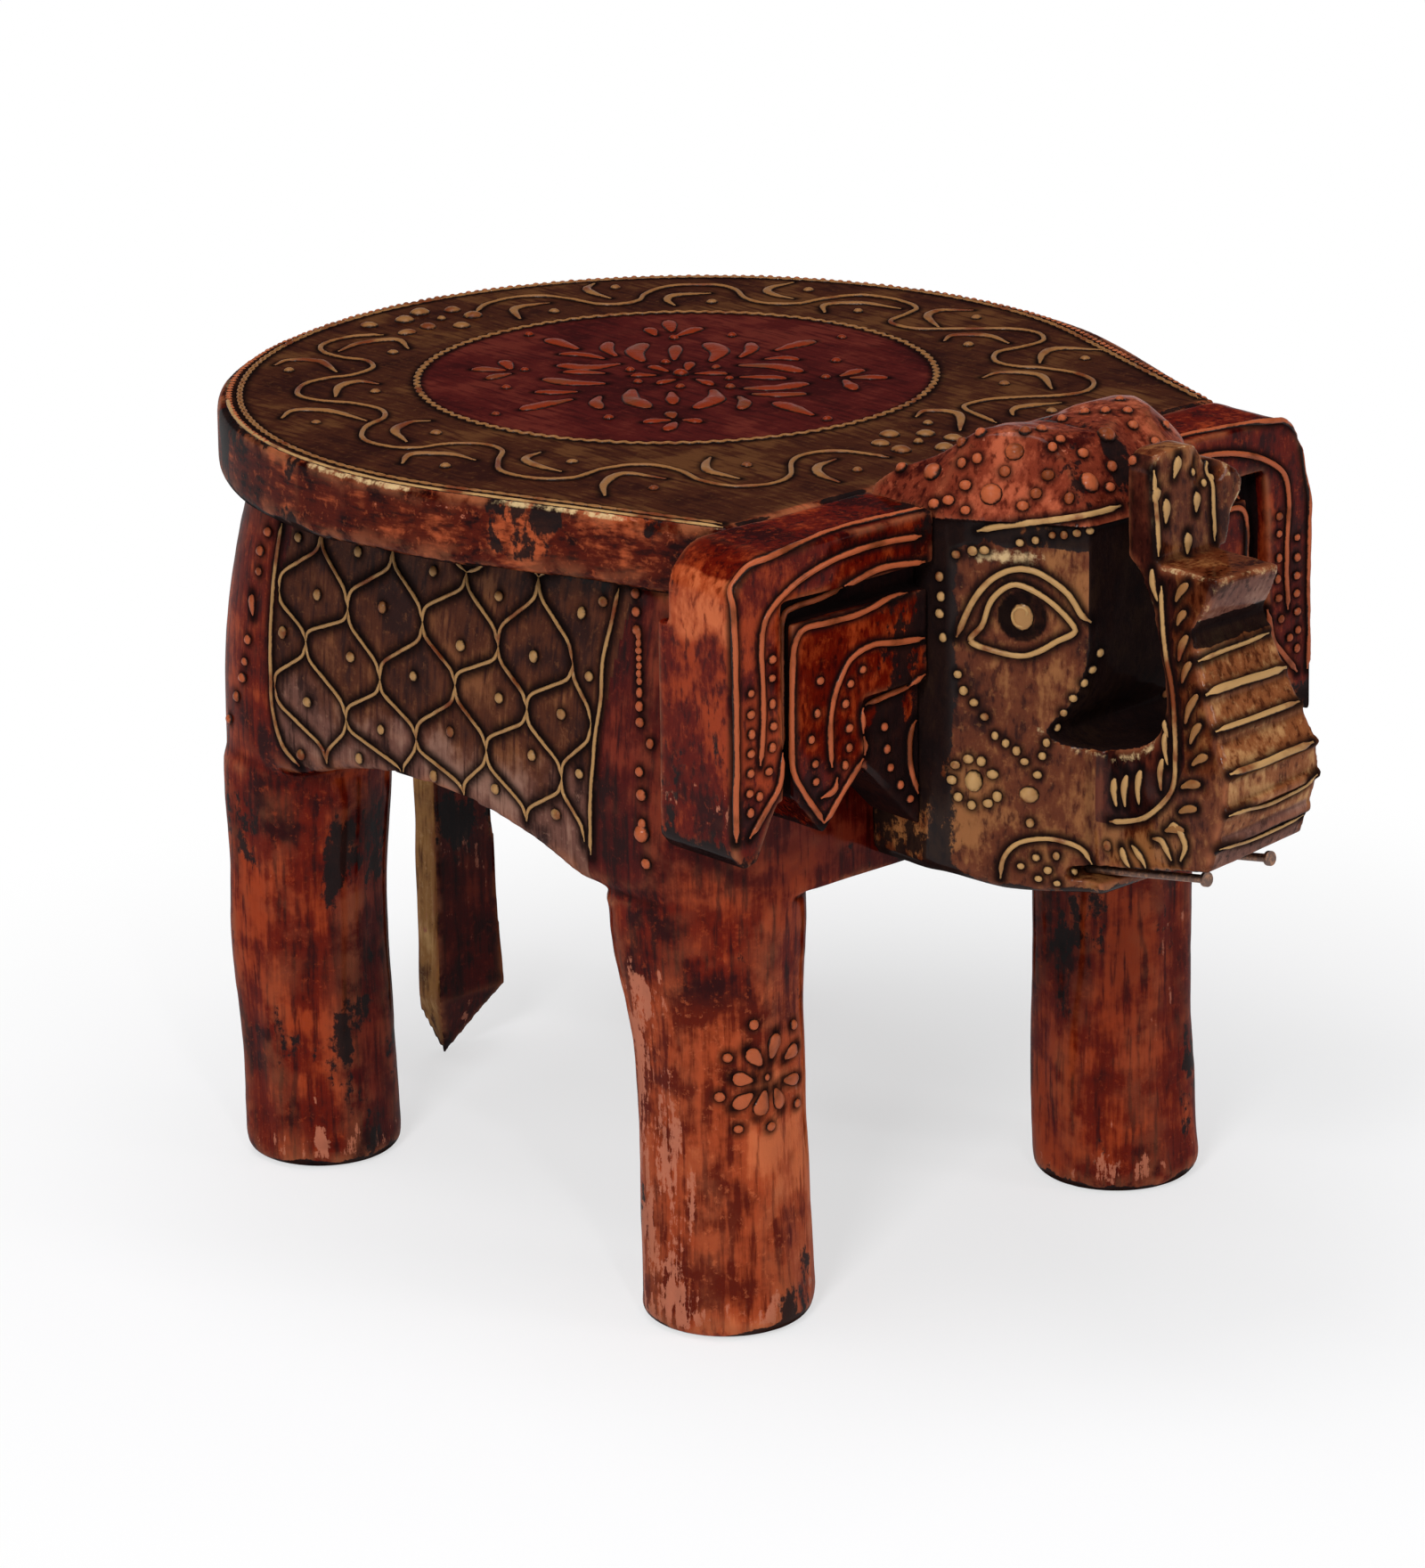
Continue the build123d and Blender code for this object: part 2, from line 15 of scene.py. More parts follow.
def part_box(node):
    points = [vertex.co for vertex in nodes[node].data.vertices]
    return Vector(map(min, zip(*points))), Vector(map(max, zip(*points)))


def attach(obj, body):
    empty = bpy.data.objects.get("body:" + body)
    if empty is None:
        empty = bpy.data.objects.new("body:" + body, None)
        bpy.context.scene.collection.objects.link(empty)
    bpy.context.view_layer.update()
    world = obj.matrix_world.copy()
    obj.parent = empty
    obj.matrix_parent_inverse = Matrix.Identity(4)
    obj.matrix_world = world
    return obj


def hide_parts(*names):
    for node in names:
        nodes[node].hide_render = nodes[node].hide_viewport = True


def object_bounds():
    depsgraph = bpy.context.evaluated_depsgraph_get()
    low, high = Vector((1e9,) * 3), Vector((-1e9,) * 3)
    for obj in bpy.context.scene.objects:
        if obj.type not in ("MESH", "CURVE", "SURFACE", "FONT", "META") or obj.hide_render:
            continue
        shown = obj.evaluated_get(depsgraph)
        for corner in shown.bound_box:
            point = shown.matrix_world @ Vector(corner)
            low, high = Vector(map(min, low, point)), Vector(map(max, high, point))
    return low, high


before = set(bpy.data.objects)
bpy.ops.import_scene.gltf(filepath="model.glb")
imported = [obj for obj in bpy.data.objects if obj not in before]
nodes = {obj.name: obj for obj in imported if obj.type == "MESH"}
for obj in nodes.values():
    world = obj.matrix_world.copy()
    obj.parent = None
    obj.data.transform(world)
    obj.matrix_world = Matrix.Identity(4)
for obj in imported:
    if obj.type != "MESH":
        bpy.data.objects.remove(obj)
cad_low, cad_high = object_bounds()
MM = 0.001

# --- Sizes taken from the frame ------------------------------------------------------------------
seat_low, seat_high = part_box("seat_board")
body_low, body_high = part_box("body_block")
seat_radius = (seat_high.x - seat_low.x) / 2 / MM
seat_y = seat_high.y / MM - seat_radius
seat_top = seat_high.z / MM
seat_under = seat_low.z / MM
front_reach = seat_y - seat_low.y / MM
belly_height = body_low.z / MM
body_half_width = body_high.x / MM

# The seat runs from its round on two tangents to the ends of its straight front.
seat_points = [v.co for v in nodes["seat_board"].data.vertices]
front_half = max(abs(p.x) for p in seat_points if p.y < seat_low.y + 0.0005) / MM
corner_turn = atan2(front_half, front_reach)
tangent_turn = corner_turn + acos(seat_radius / hypot(front_half, front_reach))


def seat_edge(turn):
    """Distance from the middle of the seat to its edge, at a turn from +X towards +Y."""
    off = np.abs((np.asarray(turn) + pi / 2 + pi) % (2 * pi) - pi)
    front = front_reach / np.cos(np.minimum(off, corner_turn))
    side = seat_radius / np.cos(np.clip(tangent_turn - off, 0, tangent_turn - corner_turn))
    return np.where(off < corner_turn, front, side)


# --- Camera, fitted to the seat circle, the medallion and the feet ------------------------------
EYE = np.array([-894.1, -1014.9, 535.1])
CAMERA_YAW = 0.72675
CAMERA_PITCH = 0.31957
CAMERA_ROLL = -0.016
FOCAL_PX = 7000.0
IMAGE_W, IMAGE_H = 1600, 1760
SENSOR = 36.0
NEAR_STOOL = 1290.0      # distance from the eye to the front of the stool
PIXELS_PER_MM = 5.4      # at that distance
ANYWHERE = 400           # reach of a pen whose points lie anywhere on the lines of sight


def camera_axes():
    """Right, up and forward directions of the camera."""
    forward = np.array([
        sin(CAMERA_YAW) * cos(CAMERA_PITCH),
        cos(CAMERA_YAW) * cos(CAMERA_PITCH),
        -sin(CAMERA_PITCH),
    ])
    level = np.array([cos(CAMERA_YAW), -sin(CAMERA_YAW), 0.0])
    upward = np.cross(level, forward)
    c, s = cos(CAMERA_ROLL), sin(CAMERA_ROLL)
    return c * level + s * upward, -s * level + c * upward, forward


RIGHT, UP, FORWARD = camera_axes()


def added(name, data):
    """New object in the scene."""
    item = bpy.data.objects.new(name, data)
    bpy.context.scene.collection.objects.link(item)
    return item


def make_camera():
    camera = added("camera", bpy.data.cameras.new("camera"))
    rotation = Matrix(np.stack([RIGHT, UP, -FORWARD], axis=1).tolist())
    place = Vector((EYE + [0, seat_y, 0]) * MM)
    camera.matrix_world = Matrix.Translation(place) @ rotation.to_4x4()
    camera.data.sensor_width = SENSOR
    camera.data.lens = FOCAL_PX * SENSOR / IMAGE_H
    camera.data.clip_end = 20.0
    bpy.context.scene.camera = camera


# --- Numeric helpers ----------------------------------------------------------------------------
def noise3(points, size, seed):
    """Smooth value noise in -1..1 with cells of the given size."""
    lattice = np.random.RandomState(seed).uniform(-1, 1, (32, 32, 32))
    p = np.asarray(points, float) / size + 100.0
    cell = np.floor(p).astype(int)
    t = p - cell
    t = t * t * (3 - 2 * t)
    total = 0.0
    for dx in (0, 1):
        for dy in (0, 1):
            for dz in (0, 1):
                corner = lattice[(cell[:, 0] + dx) % 32, (cell[:, 1] + dy) % 32, (cell[:, 2] + dz) % 32]
                weight = (t[:, 0] if dx else 1 - t[:, 0]) * (t[:, 1] if dy else 1 - t[:, 1])
                total = total + corner * weight * (t[:, 2] if dz else 1 - t[:, 2])
    return total


def smoothstep(low, high, value):
    t = np.clip((value - low) / (high - low), 0, 1)
    return t * t * (3 - 2 * t)


def normalised(vectors):
    return vectors / np.linalg.norm(vectors, axis=1, keepdims=True).clip(1e-9)


def bell(value, middle, width):
    """1 at the middle, falling to nearly 0 at twice the width on either side."""
    return np.exp(-(((value - middle) / width) ** 2))


def smooth_path(points, step, closed=False):
    """Catmull-Rom curve through the points, resampled at an even step."""
    p = np.asarray(points, float)
    if closed:
        p = np.vstack([p[-1], p, p[:2]])
    else:
        p = np.vstack([2 * p[0] - p[1], p, 2 * p[-1] - p[-2]])
    dense = []
    for i in range(1, len(p) - 2):
        t = np.linspace(0, 1, 24, endpoint=False)[:, None]
        a, b, c, d = p[i - 1:i + 3]
        square, cube = 2 * a - 5 * b + 4 * c - d, 3 * b - a - 3 * c + d
        dense.append(0.5 * (2 * b + (c - a) * t + square * t**2 + cube * t**3))
    dense = np.vstack(dense + [p[-2:-1]])
    run = np.concatenate([[0], np.cumsum(np.linalg.norm(np.diff(dense, axis=0), axis=1))])
    count = max(3, int(round(run[-1] / step)) + 1)
    at = np.linspace(0, run[-1], count)
    return np.stack([np.interp(at, run, dense[:, k]) for k in range(dense.shape[1])], axis=1)


# --- Forms: dense carved meshes -----------------------------------------------------------------
class Form:
    """A dense mesh in millimetres with quads, used to carve, smooth and paint by vertex."""

    def __init__(self, verts, quads):
        self.verts = np.asarray(verts, float)
        self.quads = np.asarray(quads, int)
        pairs = np.vstack([self.quads[:, [k, (k + 1) % 4]] for k in range(4)])
        pairs = np.sort(pairs, axis=1)
        self.edges = np.unique(pairs[pairs[:, 0] != pairs[:, 1]], axis=0)
        self.count = np.bincount(self.edges.ravel(), minlength=len(self.verts)).clip(1)
        self.paint = {}

    def mean_of_neighbours(self, values):
        a, b = self.edges[:, 0], self.edges[:, 1]
        size = len(self.verts)
        total = [np.bincount(a, k[b], size) + np.bincount(b, k[a], size) for k in values.T]
        return np.stack(total, axis=1) / self.count[:, None]

    def smooth(self, rounds, mask=1.0):
        weight = np.broadcast_to(mask, len(self.verts))[:, None] * 0.6
        for _ in range(rounds):
            self.verts += (self.mean_of_neighbours(self.verts) - self.verts) * weight

    def normals(self):
        q = self.verts[self.quads]
        face = np.cross(q[:, 2] - q[:, 0], q[:, 3] - q[:, 1])
        total = np.zeros_like(self.verts)
        for k in range(4):
            for axis in range(3):
                total[:, axis] += np.bincount(self.quads[:, k], face[:, axis], len(self.verts))
        return normalised(total)

    def push(self, amount):
        self.verts += self.normals() * np.asarray(amount)[:, None]

    def settle(self):
        """Readies the finished shape for ornament to be laid on it."""
        self.bvh = BVHTree.FromPolygons(self.verts.tolist(), self.quads.tolist())

    def find_ridges(self):
        """Paints ridge (rubbed convex edges) and hollow (dark concave lines) from the curvature."""
        copy = self.verts.copy()
        for _ in range(6):
            copy += (self.mean_of_neighbours(copy) - copy) * 0.6
        rise = np.einsum("ij,ij->i", self.verts - copy, self.normals())
        self.paint["ridge"] = np.clip(rise / 0.22, 0, 1)
        self.paint["hollow"] = np.clip(-rise / 0.18, 0, 1)


def remeshed(verts, faces, voxel):
    """One even skin around closed shapes that may overlap."""
    mesh = bpy.data.meshes.new("raw")
    mesh.from_pydata(np.asarray(verts).tolist(), [], [list(f) for f in faces])
    holder = added("raw", mesh)
    skin = holder.modifiers.new("skin", "REMESH")
    skin.mode = "VOXEL"
    skin.voxel_size = voxel
    skin.adaptivity = 0.0
    graph = bpy.context.evaluated_depsgraph_get()
    result = bpy.data.meshes.new_from_object(holder.evaluated_get(graph))
    co = np.empty(len(result.vertices) * 3)
    result.vertices.foreach_get("co", co)
    index = np.empty(len(result.loops), int)
    result.loops.foreach_get("vertex_index", index)
    bpy.data.objects.remove(holder)
    bpy.data.meshes.remove(mesh)
    form = Form(co.reshape(-1, 3), index.reshape(-1, 4))
    bpy.data.meshes.remove(result)
    return form


def node_shape(*names):
    """Vertices in millimetres about the seat centre, and faces, of CAD nodes."""
    verts, faces, start = [], [], 0
    for name in names:
        mesh = nodes[name].data
        verts.append(np.array([v.co for v in mesh.vertices]) / MM - [0, seat_y, 0])
        faces += [[start + i for i in polygon.vertices] for polygon in mesh.polygons]
        start += len(mesh.vertices)
    return welded(np.vstack(verts), faces)


def welded(verts, faces):
    """Merges vertices that share a place, so that the shape is closed."""
    keys, index = np.unique(np.round(verts, 4), axis=0, return_inverse=True)
    index = index.ravel()
    kept = []
    for face in faces:
        loop = [int(index[i]) for i in face]
        if len(set(loop)) == len(loop):
            kept.append(loop)
    return keys, kept


def write_object(name, verts, faces, material, paint):
    """Object in metres in the frame's place, with painted vertex values."""
    mesh = bpy.data.meshes.new(name)
    co = (np.asarray(verts) + [0, seat_y, 0]) * MM
    mesh.from_pydata(co.tolist(), [], faces.tolist() if isinstance(faces, np.ndarray) else faces)
    for key, values in paint.items():
        layer = mesh.attributes.new(key, "FLOAT", "POINT")
        layer.data.foreach_set("value", np.asarray(values, np.float32))
    mesh.materials.append(material)
    mesh.polygons.foreach_set("use_smooth", [True] * len(mesh.polygons))
    mesh.update()
    piece = added(name, mesh)
    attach(piece, "root")
    return piece


# --- Raised paste ornament ----------------------------------------------------------------------
def ring_faces(low, high, sides):
    """Quads between two rings of vertices whose first ones are low and high."""
    pairs = [(k, (k + 1) % sides) for k in range(sides)]
    return [[low + k, low + m, high + m, high + k] for k, m in pairs]


class Relief:
    """Lines, dots and drops of raised paste laid on carved forms; closed meshes half sunk in."""

    def __init__(self, seed):
        self.random = np.random.RandomState(seed)
        self.verts = []
        self.faces = []
        self.crown = []
        self.tint = []
        self.size = 0
        self.marks = []

    def add(self, verts, faces, crown, tint):
        self.verts.append(verts)
        self.faces += [[self.size + i for i in face] for face in faces]
        self.crown.append(crown)
        self.tint.append(np.full(len(verts), tint))
        self.size += len(verts)

    def ridge(self, places, normals, widths, height, tint, closed=False):
        """Rounded ridge along the places, with a width at each."""
        count = len(places)
        if count < 3:
            return
        sides = 8
        kernel = np.ones(5) / 5
        pad = "wrap" if closed else "edge"
        smooth = np.pad(normals, ((2, 2), (0, 0)), mode=pad)
        normals = normalised(np.stack([np.convolve(k, kernel, "valid") for k in smooth.T], axis=1))
        if closed:
            along = np.roll(places, -1, axis=0) - np.roll(places, 1, axis=0)
        else:
            along = np.gradient(places, axis=0)
        across = normalised(np.cross(normalised(along), normals))
        angle = np.arange(sides) * 2 * pi / sides
        uneven = 1 + 0.14 * np.convolve(self.random.uniform(-1, 1, count + 4), kernel, "valid")
        widths = widths * uneven
        lift = height * np.minimum(1.0, widths / widths.max()) * uneven
        aside = np.cos(angle)[None, :, None] * widths[:, None, None] / 2
        upward = np.sin(angle)[None, :, None] * lift[:, None, None]
        ring = places[:, None] + across[:, None] * aside + normals[:, None] * upward
        crown = np.tile(np.sin(angle).clip(0, 1), count)
        faces = []
        for i in range(count if closed else count - 1):
            faces += ring_faces(i * sides, (i + 1) % count * sides, sides)
        if not closed:
            faces.append(list(range(sides))[::-1])
            faces.append([(count - 1) * sides + k for k in range(sides)])
        self.add(ring.reshape(-1, 3), faces, crown, tint)
        self.marks.append(places)

    def dot(self, place, normal, radius, tint, height=0.75):
        """Domed drop of paste with a faint peak."""
        rings, sides = 5, 12
        turn = Vector(normal).to_track_quat("Z", "Y").to_matrix()
        spin = self.random.uniform(0, 2 * pi)
        oval = self.random.uniform(0.9, 1.12)
        tall = radius * height * self.random.uniform(0.85, 1.15)
        verts = [(0, 0, -tall * 0.6)]
        crown = [0.0]
        for r in range(1, rings + 1):
            polar = -pi / 2 + pi * r / (rings + 1)
            for k in range(sides):
                a = 2 * pi * k / sides + spin
                z = sin(polar) * tall * (1.12 if polar > 1 else 1)
                verts.append((cos(a) * cos(polar) * radius * oval, sin(a) * cos(polar) * radius / oval, z))
                crown.append(max(0.0, sin(polar)))
        verts.append((0, 0, tall * 1.15))
        crown.append(1.0)
        faces = [[0, 1 + (k + 1) % sides, 1 + k] for k in range(sides)]
        for r in range(rings - 1):
            faces += ring_faces(1 + r * sides, 1 + (r + 1) * sides, sides)
        a = 1 + (rings - 1) * sides
        faces += [[a + k, a + (k + 1) % sides, len(verts) - 1] for k in range(sides)]
        self.add(np.array(verts) @ np.array(turn).T + place, faces, np.array(crown), tint)
        self.marks.append(np.repeat([place], 2, axis=0))

    def build(self, name, material, slot):
        paint = {"crown": np.concatenate(self.crown), "tint": np.concatenate(self.tint)}
        verts = np.vstack(self.verts)
        verts[:, 2] = np.minimum(verts[:, 2], cad_high.z / MM - 0.05)
        return write_object(name, verts, self.faces, material, paint)


class Pen:
    """Draws on forms through the camera's eye, so that a point read from a view lies on the surface."""

    def __init__(self, relief, forms, plane, tint=1.0, mirror=None, reach=9.0):
        self.relief = relief
        self.forms = forms
        self.plane = plane
        self.tint = tint
        self.mirror = mirror
        self.reach = reach
        self.unit = 1.0

    def hit(self, uv):
        """Place and normal where the eye sees the plane's point on the nearest form."""
        target = self.plane(*uv)
        ray = target - EYE
        far = np.linalg.norm(ray)
        best = None
        for form in self.forms:
            place, normal, _, distance = form.bvh.ray_cast(Vector(EYE), Vector(ray / far), far + 60)
            if place is not None and (best is None or distance < best[2]):
                best = (np.array(place), np.array(normal), distance)
        if best is None or np.linalg.norm(best[0] - target) > self.reach:
            return None
        return best[:2]

    def mirrored(self, hit):
        """The matching place and normal on the other side of the elephant."""
        form, shift = self.mirror
        flipped = Vector(shift(hit[0] * [-1, 1, 1]))
        near, facing, _, _ = form.bvh.find_nearest(flipped)
        return np.array(near), np.array(facing)

    def runs(self, points, step, closed):
        """Stretches of the path that land on the forms."""
        path = smooth_path(points, step * self.unit, closed)
        hits = [self.hit(p) for p in path]
        stretch, found = [], []
        for hit in hits + [None]:
            jump = stretch and hit is not None and np.linalg.norm(hit[0] - stretch[-1][0]) > 5 * step
            if hit is None or jump:
                if len(stretch) > 4:
                    found.append(stretch)
                stretch = []
            if hit is not None:
                stretch.append(hit)
        return found

    def both(self, hits):
        """The hits, and their mirror images when the pen draws on both sides."""
        return [hits, [self.mirrored(hit) for hit in hits]] if self.mirror else [hits]

    def lay(self, run, widths, height, closed=False):
        for side, hits in enumerate(self.both(run)):
            places, normals = (np.array(part)[::-1 if side else 1] for part in zip(*hits))
            wide = widths[::-1 if side else 1]
            self.relief.ridge(places, normals, wide, height, self.tint, closed)

    def line(self, points, width=1.3, height=0.65, step=0.7, closed=False):
        for run in self.runs(points, step, closed):
            share = np.linspace(0, 1, len(run))
            taper = np.clip(np.minimum(share, 1 - share) * len(run) / 3.0, 0.35, 1)
            self.lay(run, width * (np.ones(len(run)) if closed else taper), height)

    def drop(self, tail, head, width=3.0, bend=0.0, height=0.8, thin=0.2):
        """Teardrop from a thin tail to a round head, with a sideways bend."""
        tail, head = np.array(tail, float), np.array(head, float)
        along, up = head - tail
        side = np.array([-up, along])
        middle = (tail + head) / 2 + side * bend
        for run in self.runs([tail, middle, head], 0.5, False):
            share = np.linspace(0, 1, len(run))
            belly = thin + (1 - thin) * np.sin(pi * np.clip(share, 0, 1) ** 1.7) ** 0.6
            belly[0] = thin * 0.6
            self.lay(run, width * belly.clip(0.12, 1), height)

    def crescent(self, points, width=2.4, height=0.7):
        for run in self.runs(points, 0.6, False):
            share = np.linspace(0, 1, len(run))
            self.lay(run, width * (0.25 + 0.75 * np.sin(pi * share) ** 1.2), height)

    def dots(self, points, radius=1.0, height=0.75):
        for hit in filter(None, map(self.hit, points)):
            size = radius * self.relief.random.uniform(0.9, 1.1)
            for (place, normal), in self.both([hit]):
                self.relief.dot(place, normal, size, self.tint, height)

    def beads(self, points, pitch, radius):
        """Row of dots along a curve."""
        self.dots(smooth_path(points, pitch * self.unit), radius)


# Planes that the ornament was read on.
def seat_plane(x, y):
    return np.array([x, y, seat_top])


def flank_plane(forward, height):
    return np.array([-80.0, -forward, height])


def ear_plane(x, height):
    return np.array([x, -116.0, height])


def trunk_plane(forward, height):
    return np.array([-13.5, -forward, height])


def face_plane(along, height):
    start, end = np.array([-32.0, -116.0, 0.0]), np.array([-14.0, -143.0, 0.0])
    return start + along * (end - start) / np.linalg.norm(end - start) + [0, 0, height]


def pixel_plane(x, y):
    """A point near the object on the line of sight of a pixel of the 1600 by 1760 photograph."""
    ray = FORWARD + (x - IMAGE_W / 2) / FOCAL_PX * RIGHT - (y - IMAGE_H / 2) / FOCAL_PX * UP
    return EYE + ray * NEAR_STOOL


def stain_near(form, relief, spread=1.5):
    """Paints wax, the dark antiquing left around raised paste."""
    marks = np.vstack(relief.marks)
    tree = KDTree(len(marks))
    for i, mark in enumerate(marks):
        tree.insert(mark, i)
    tree.balance()
    near = np.array([tree.find(v)[2] for v in form.verts.tolist()])
    form.paint["wax"] = np.maximum(form.paint.get("wax", 0), np.exp(-((near / spread) ** 4)))


# --- Materials ----------------------------------------------------------------------------------
class Shader:
    """Small helper around one node material."""

    def __init__(self, name):
        self.material = bpy.data.materials.new(name)
        self.material.use_nodes = True
        self.tree = self.material.node_tree
        self.surface = self.tree.nodes["Principled BSDF"]
        self.place = self.tree.nodes.new("ShaderNodeTexCoord").outputs["Object"]

    def put(self, node, socket, value):
        if isinstance(value, bpy.types.NodeSocket):
            self.tree.links.new(value, node.inputs[socket])
        elif isinstance(value, tuple) and len(value) == 3 and node.inputs[socket].type == "RGBA":
            node.inputs[socket].default_value = (*value, 1)
        else:
            node.inputs[socket].default_value = value

    def dress(self, **sockets):
        """Sets sockets of the surface, by their names with _ for each space."""
        for name, value in sockets.items():
            self.put(self.surface, name.replace("_", " "), value)

    def math(self, kind, a, b=0.0):
        node = self.tree.nodes.new("ShaderNodeMath")
        node.operation = kind
        self.put(node, 0, a)
        self.put(node, 1, b)
        return node.outputs[0]

    def times(self, a, b):
        return self.math("MULTIPLY", a, b)

    def plus(self, a, b):
        return self.math("ADD", a, b)

    def weighted(self, *parts):
        """Sum of sockets, each times its share."""
        total = None
        for socket, share in parts:
            part = self.times(socket, share)
            total = part if total is None else self.plus(total, part)
        return total

    def around(self, base, *parts):
        """A painted value with noises added about their middle, each times its share."""
        middle = 0.5 * sum(share for _, share in parts)
        return self.math("SUBTRACT", self.plus(base, self.weighted(*parts)), middle)

    def band(self, value, low, high):
        """Smooth step of a value from 0 at low to 1 at high."""
        node = self.tree.nodes.new("ShaderNodeMapRange")
        node.interpolation_type = "SMOOTHSTEP"
        self.put(node, "Value", value)
        self.put(node, "From Min", low)
        self.put(node, "From Max", high)
        return node.outputs["Result"]

    def noise(self, scale, detail=4.0, stretch=(1, 1, 1), shift=0.0, rough=0.55):
        mapping = self.tree.nodes.new("ShaderNodeMapping")
        self.put(mapping, "Vector", self.place)
        self.put(mapping, "Scale", tuple(scale * s for s in stretch))
        self.put(mapping, "Location", (shift, shift * 0.7, shift * 1.3))
        node = self.tree.nodes.new("ShaderNodeTexNoise")
        self.put(node, "Vector", mapping.outputs[0])
        self.put(node, "Scale", 1.0)
        self.put(node, "Detail", detail)
        self.put(node, "Roughness", rough)
        return node.outputs["Fac"]

    def painted(self, name):
        node = self.tree.nodes.new("ShaderNodeAttribute")
        node.attribute_name = name
        return node.outputs["Fac"]

    def mix(self, share, a, b):
        node = self.tree.nodes.new("ShaderNodeMix")
        node.data_type = "RGBA"
        node.clamp_factor = True
        self.put(node, 0, share)
        self.put(node, 6, a)
        self.put(node, 7, b)
        return node.outputs[2]

    def bump(self, height, strength, distance):
        node = self.tree.nodes.new("ShaderNodeBump")
        self.put(node, "Height", height)
        self.put(node, "Strength", strength)
        self.put(node, "Distance", distance)
        return node.outputs["Normal"]


# Tints of the paste, as places on its colour ramp.
GOLD, DULL_GOLD, COPPER, RED = 1.0, 0.66, 0.33, 0.0
LATTICE_TINT, PUPIL_TINT, RIM_TINT = 0.88, 0.8, 0.4     # between the four above

UPRIGHT = (1, 1, 0.1)    # wood grain that runs up the piece
ACROSS = (1, 0.12, 1)    # wood grain that runs from front to back
CARVED = (1, 1, 0.4)     # carving that was painted over, with little of the grain left

# Near black of black paint patches, and of painted shade in recesses, under parts and between them.
NEAR_BLACK = (0.008, 0.005, 0.005)
DARK_WAX = (0.005, 0.003, 0.003)
RUBBED_GOLD = (0.60, 0.42, 0.21)
COPPER_RUB_AND_SHEEN = (0.46, 0.15, 0.085)
WORN_EDGE = (0.30, 0.095, 0.04)


def lacquer(name, palettes, grain, coat):
    """Painted, rubbed and waxed wood; the clear coat is its only gloss.

    Each palette is (name of its painted zone or None, (dark, middle, light)).  Other painted values:
    black_and_shade for black patches and painted shade, wear_and_sheen for rubbed copper and painted sheen,
    gilt for rubbed gold, wax and hollow for dark lines, ridge for edges.
    """
    shader = Shader(name)
    broad = shader.noise(34, 5.0)
    blotch = shader.noise(120, 6.0, shift=3.0)
    streak = shader.noise(700, 5.0, grain, 7.0)
    thread = shader.noise(2600, 3.0, grain, 11.0)
    fleck = shader.noise(520, 4.0, shift=5.0, rough=0.7)
    flake = shader.noise(210, 7.0, tuple(sqrt(g) for g in grain), 17.0, 0.68)
    tone = shader.weighted((broad, 0.5), (blotch, 0.28), (streak, 0.22))
    colour = None
    for zone, (dark, middle, light) in palettes:
        skin = shader.mix(shader.band(tone, 0.41, 0.50), dark, middle)
        skin = shader.mix(shader.band(tone, 0.50, 0.59), skin, light)
        skin = shader.mix(shader.times(shader.band(fleck, 0.54, 0.70), 0.5), skin, light)
        skin = shader.mix(shader.times(shader.band(streak, 0.46, 0.34), 0.6), skin, dark)
        if zone is None:
            colour = skin
        else:
            ragged = shader.around(shader.painted(zone), (blotch, 0.8))
            colour = shader.mix(shader.band(ragged, 0.32, 0.68), colour, skin)
    # Rubbed copper paint; on the near front leg's outer side and the ear's top corner it is also painted
    # sheen and highlight.
    rubbed = shader.around(shader.painted("wear_and_sheen"), (flake, 1.5), (streak, 0.7), (fleck, 0.5))
    colour = shader.mix(shader.times(shader.band(rubbed, 0.48, 0.57), 0.85), colour, COPPER_RUB_AND_SHEEN)
    spent = shader.times(shader.painted("ridge"), shader.band(blotch, 0.38, 0.58))
    colour = shader.mix(shader.times(spent, 0.75), colour, WORN_EDGE)
    torn = shader.noise(105, 8.0, (1, 1, 0.5), 29.0, 0.66)
    # Black paint patches and painted shade, mixed to near black.
    black_and_shade_mask = shader.band(shader.around(shader.painted("black_and_shade"), (torn, 2.1), (fleck, 0.6)), 0.49, 0.62)
    colour = shader.mix(shader.times(black_and_shade_mask, 0.95), colour, NEAR_BLACK)
    bright = shader.around(shader.painted("gilt"), (fleck, 0.9), (blotch, 0.5))
    colour = shader.mix(shader.times(shader.band(bright, 0.42, 0.68), 0.9), colour, RUBBED_GOLD)
    dirt = shader.times(shader.painted("wax"), shader.band(blotch, 0.10, 0.42))
    dirt = shader.math("MAXIMUM", dirt, shader.times(shader.painted("hollow"), 0.9))
    colour = shader.mix(shader.times(dirt, 0.98), colour, DARK_WAX)
    dull = shader.math("MAXIMUM", dirt, shader.band(shader.painted("black_and_shade"), 0.60, 0.95))
    height = shader.weighted((streak, 0.5), (thread, 0.3), (fleck, 0.9), (flake, 0.8), (black_and_shade_mask, -0.3))
    shader.dress(
        Base_Color=colour, Specular_IOR_Level=0.0, Coat_Roughness=0.12,
        Normal=shader.bump(height, 0.6, 0.0006),
        Roughness=shader.plus(shader.plus(0.30, shader.times(fleck, 0.25)), shader.times(dirt, 0.1)),
        Coat_Weight=shader.math("SUBTRACT", coat, shader.times(dull, 0.92 * coat)),
    )
    return shader.material


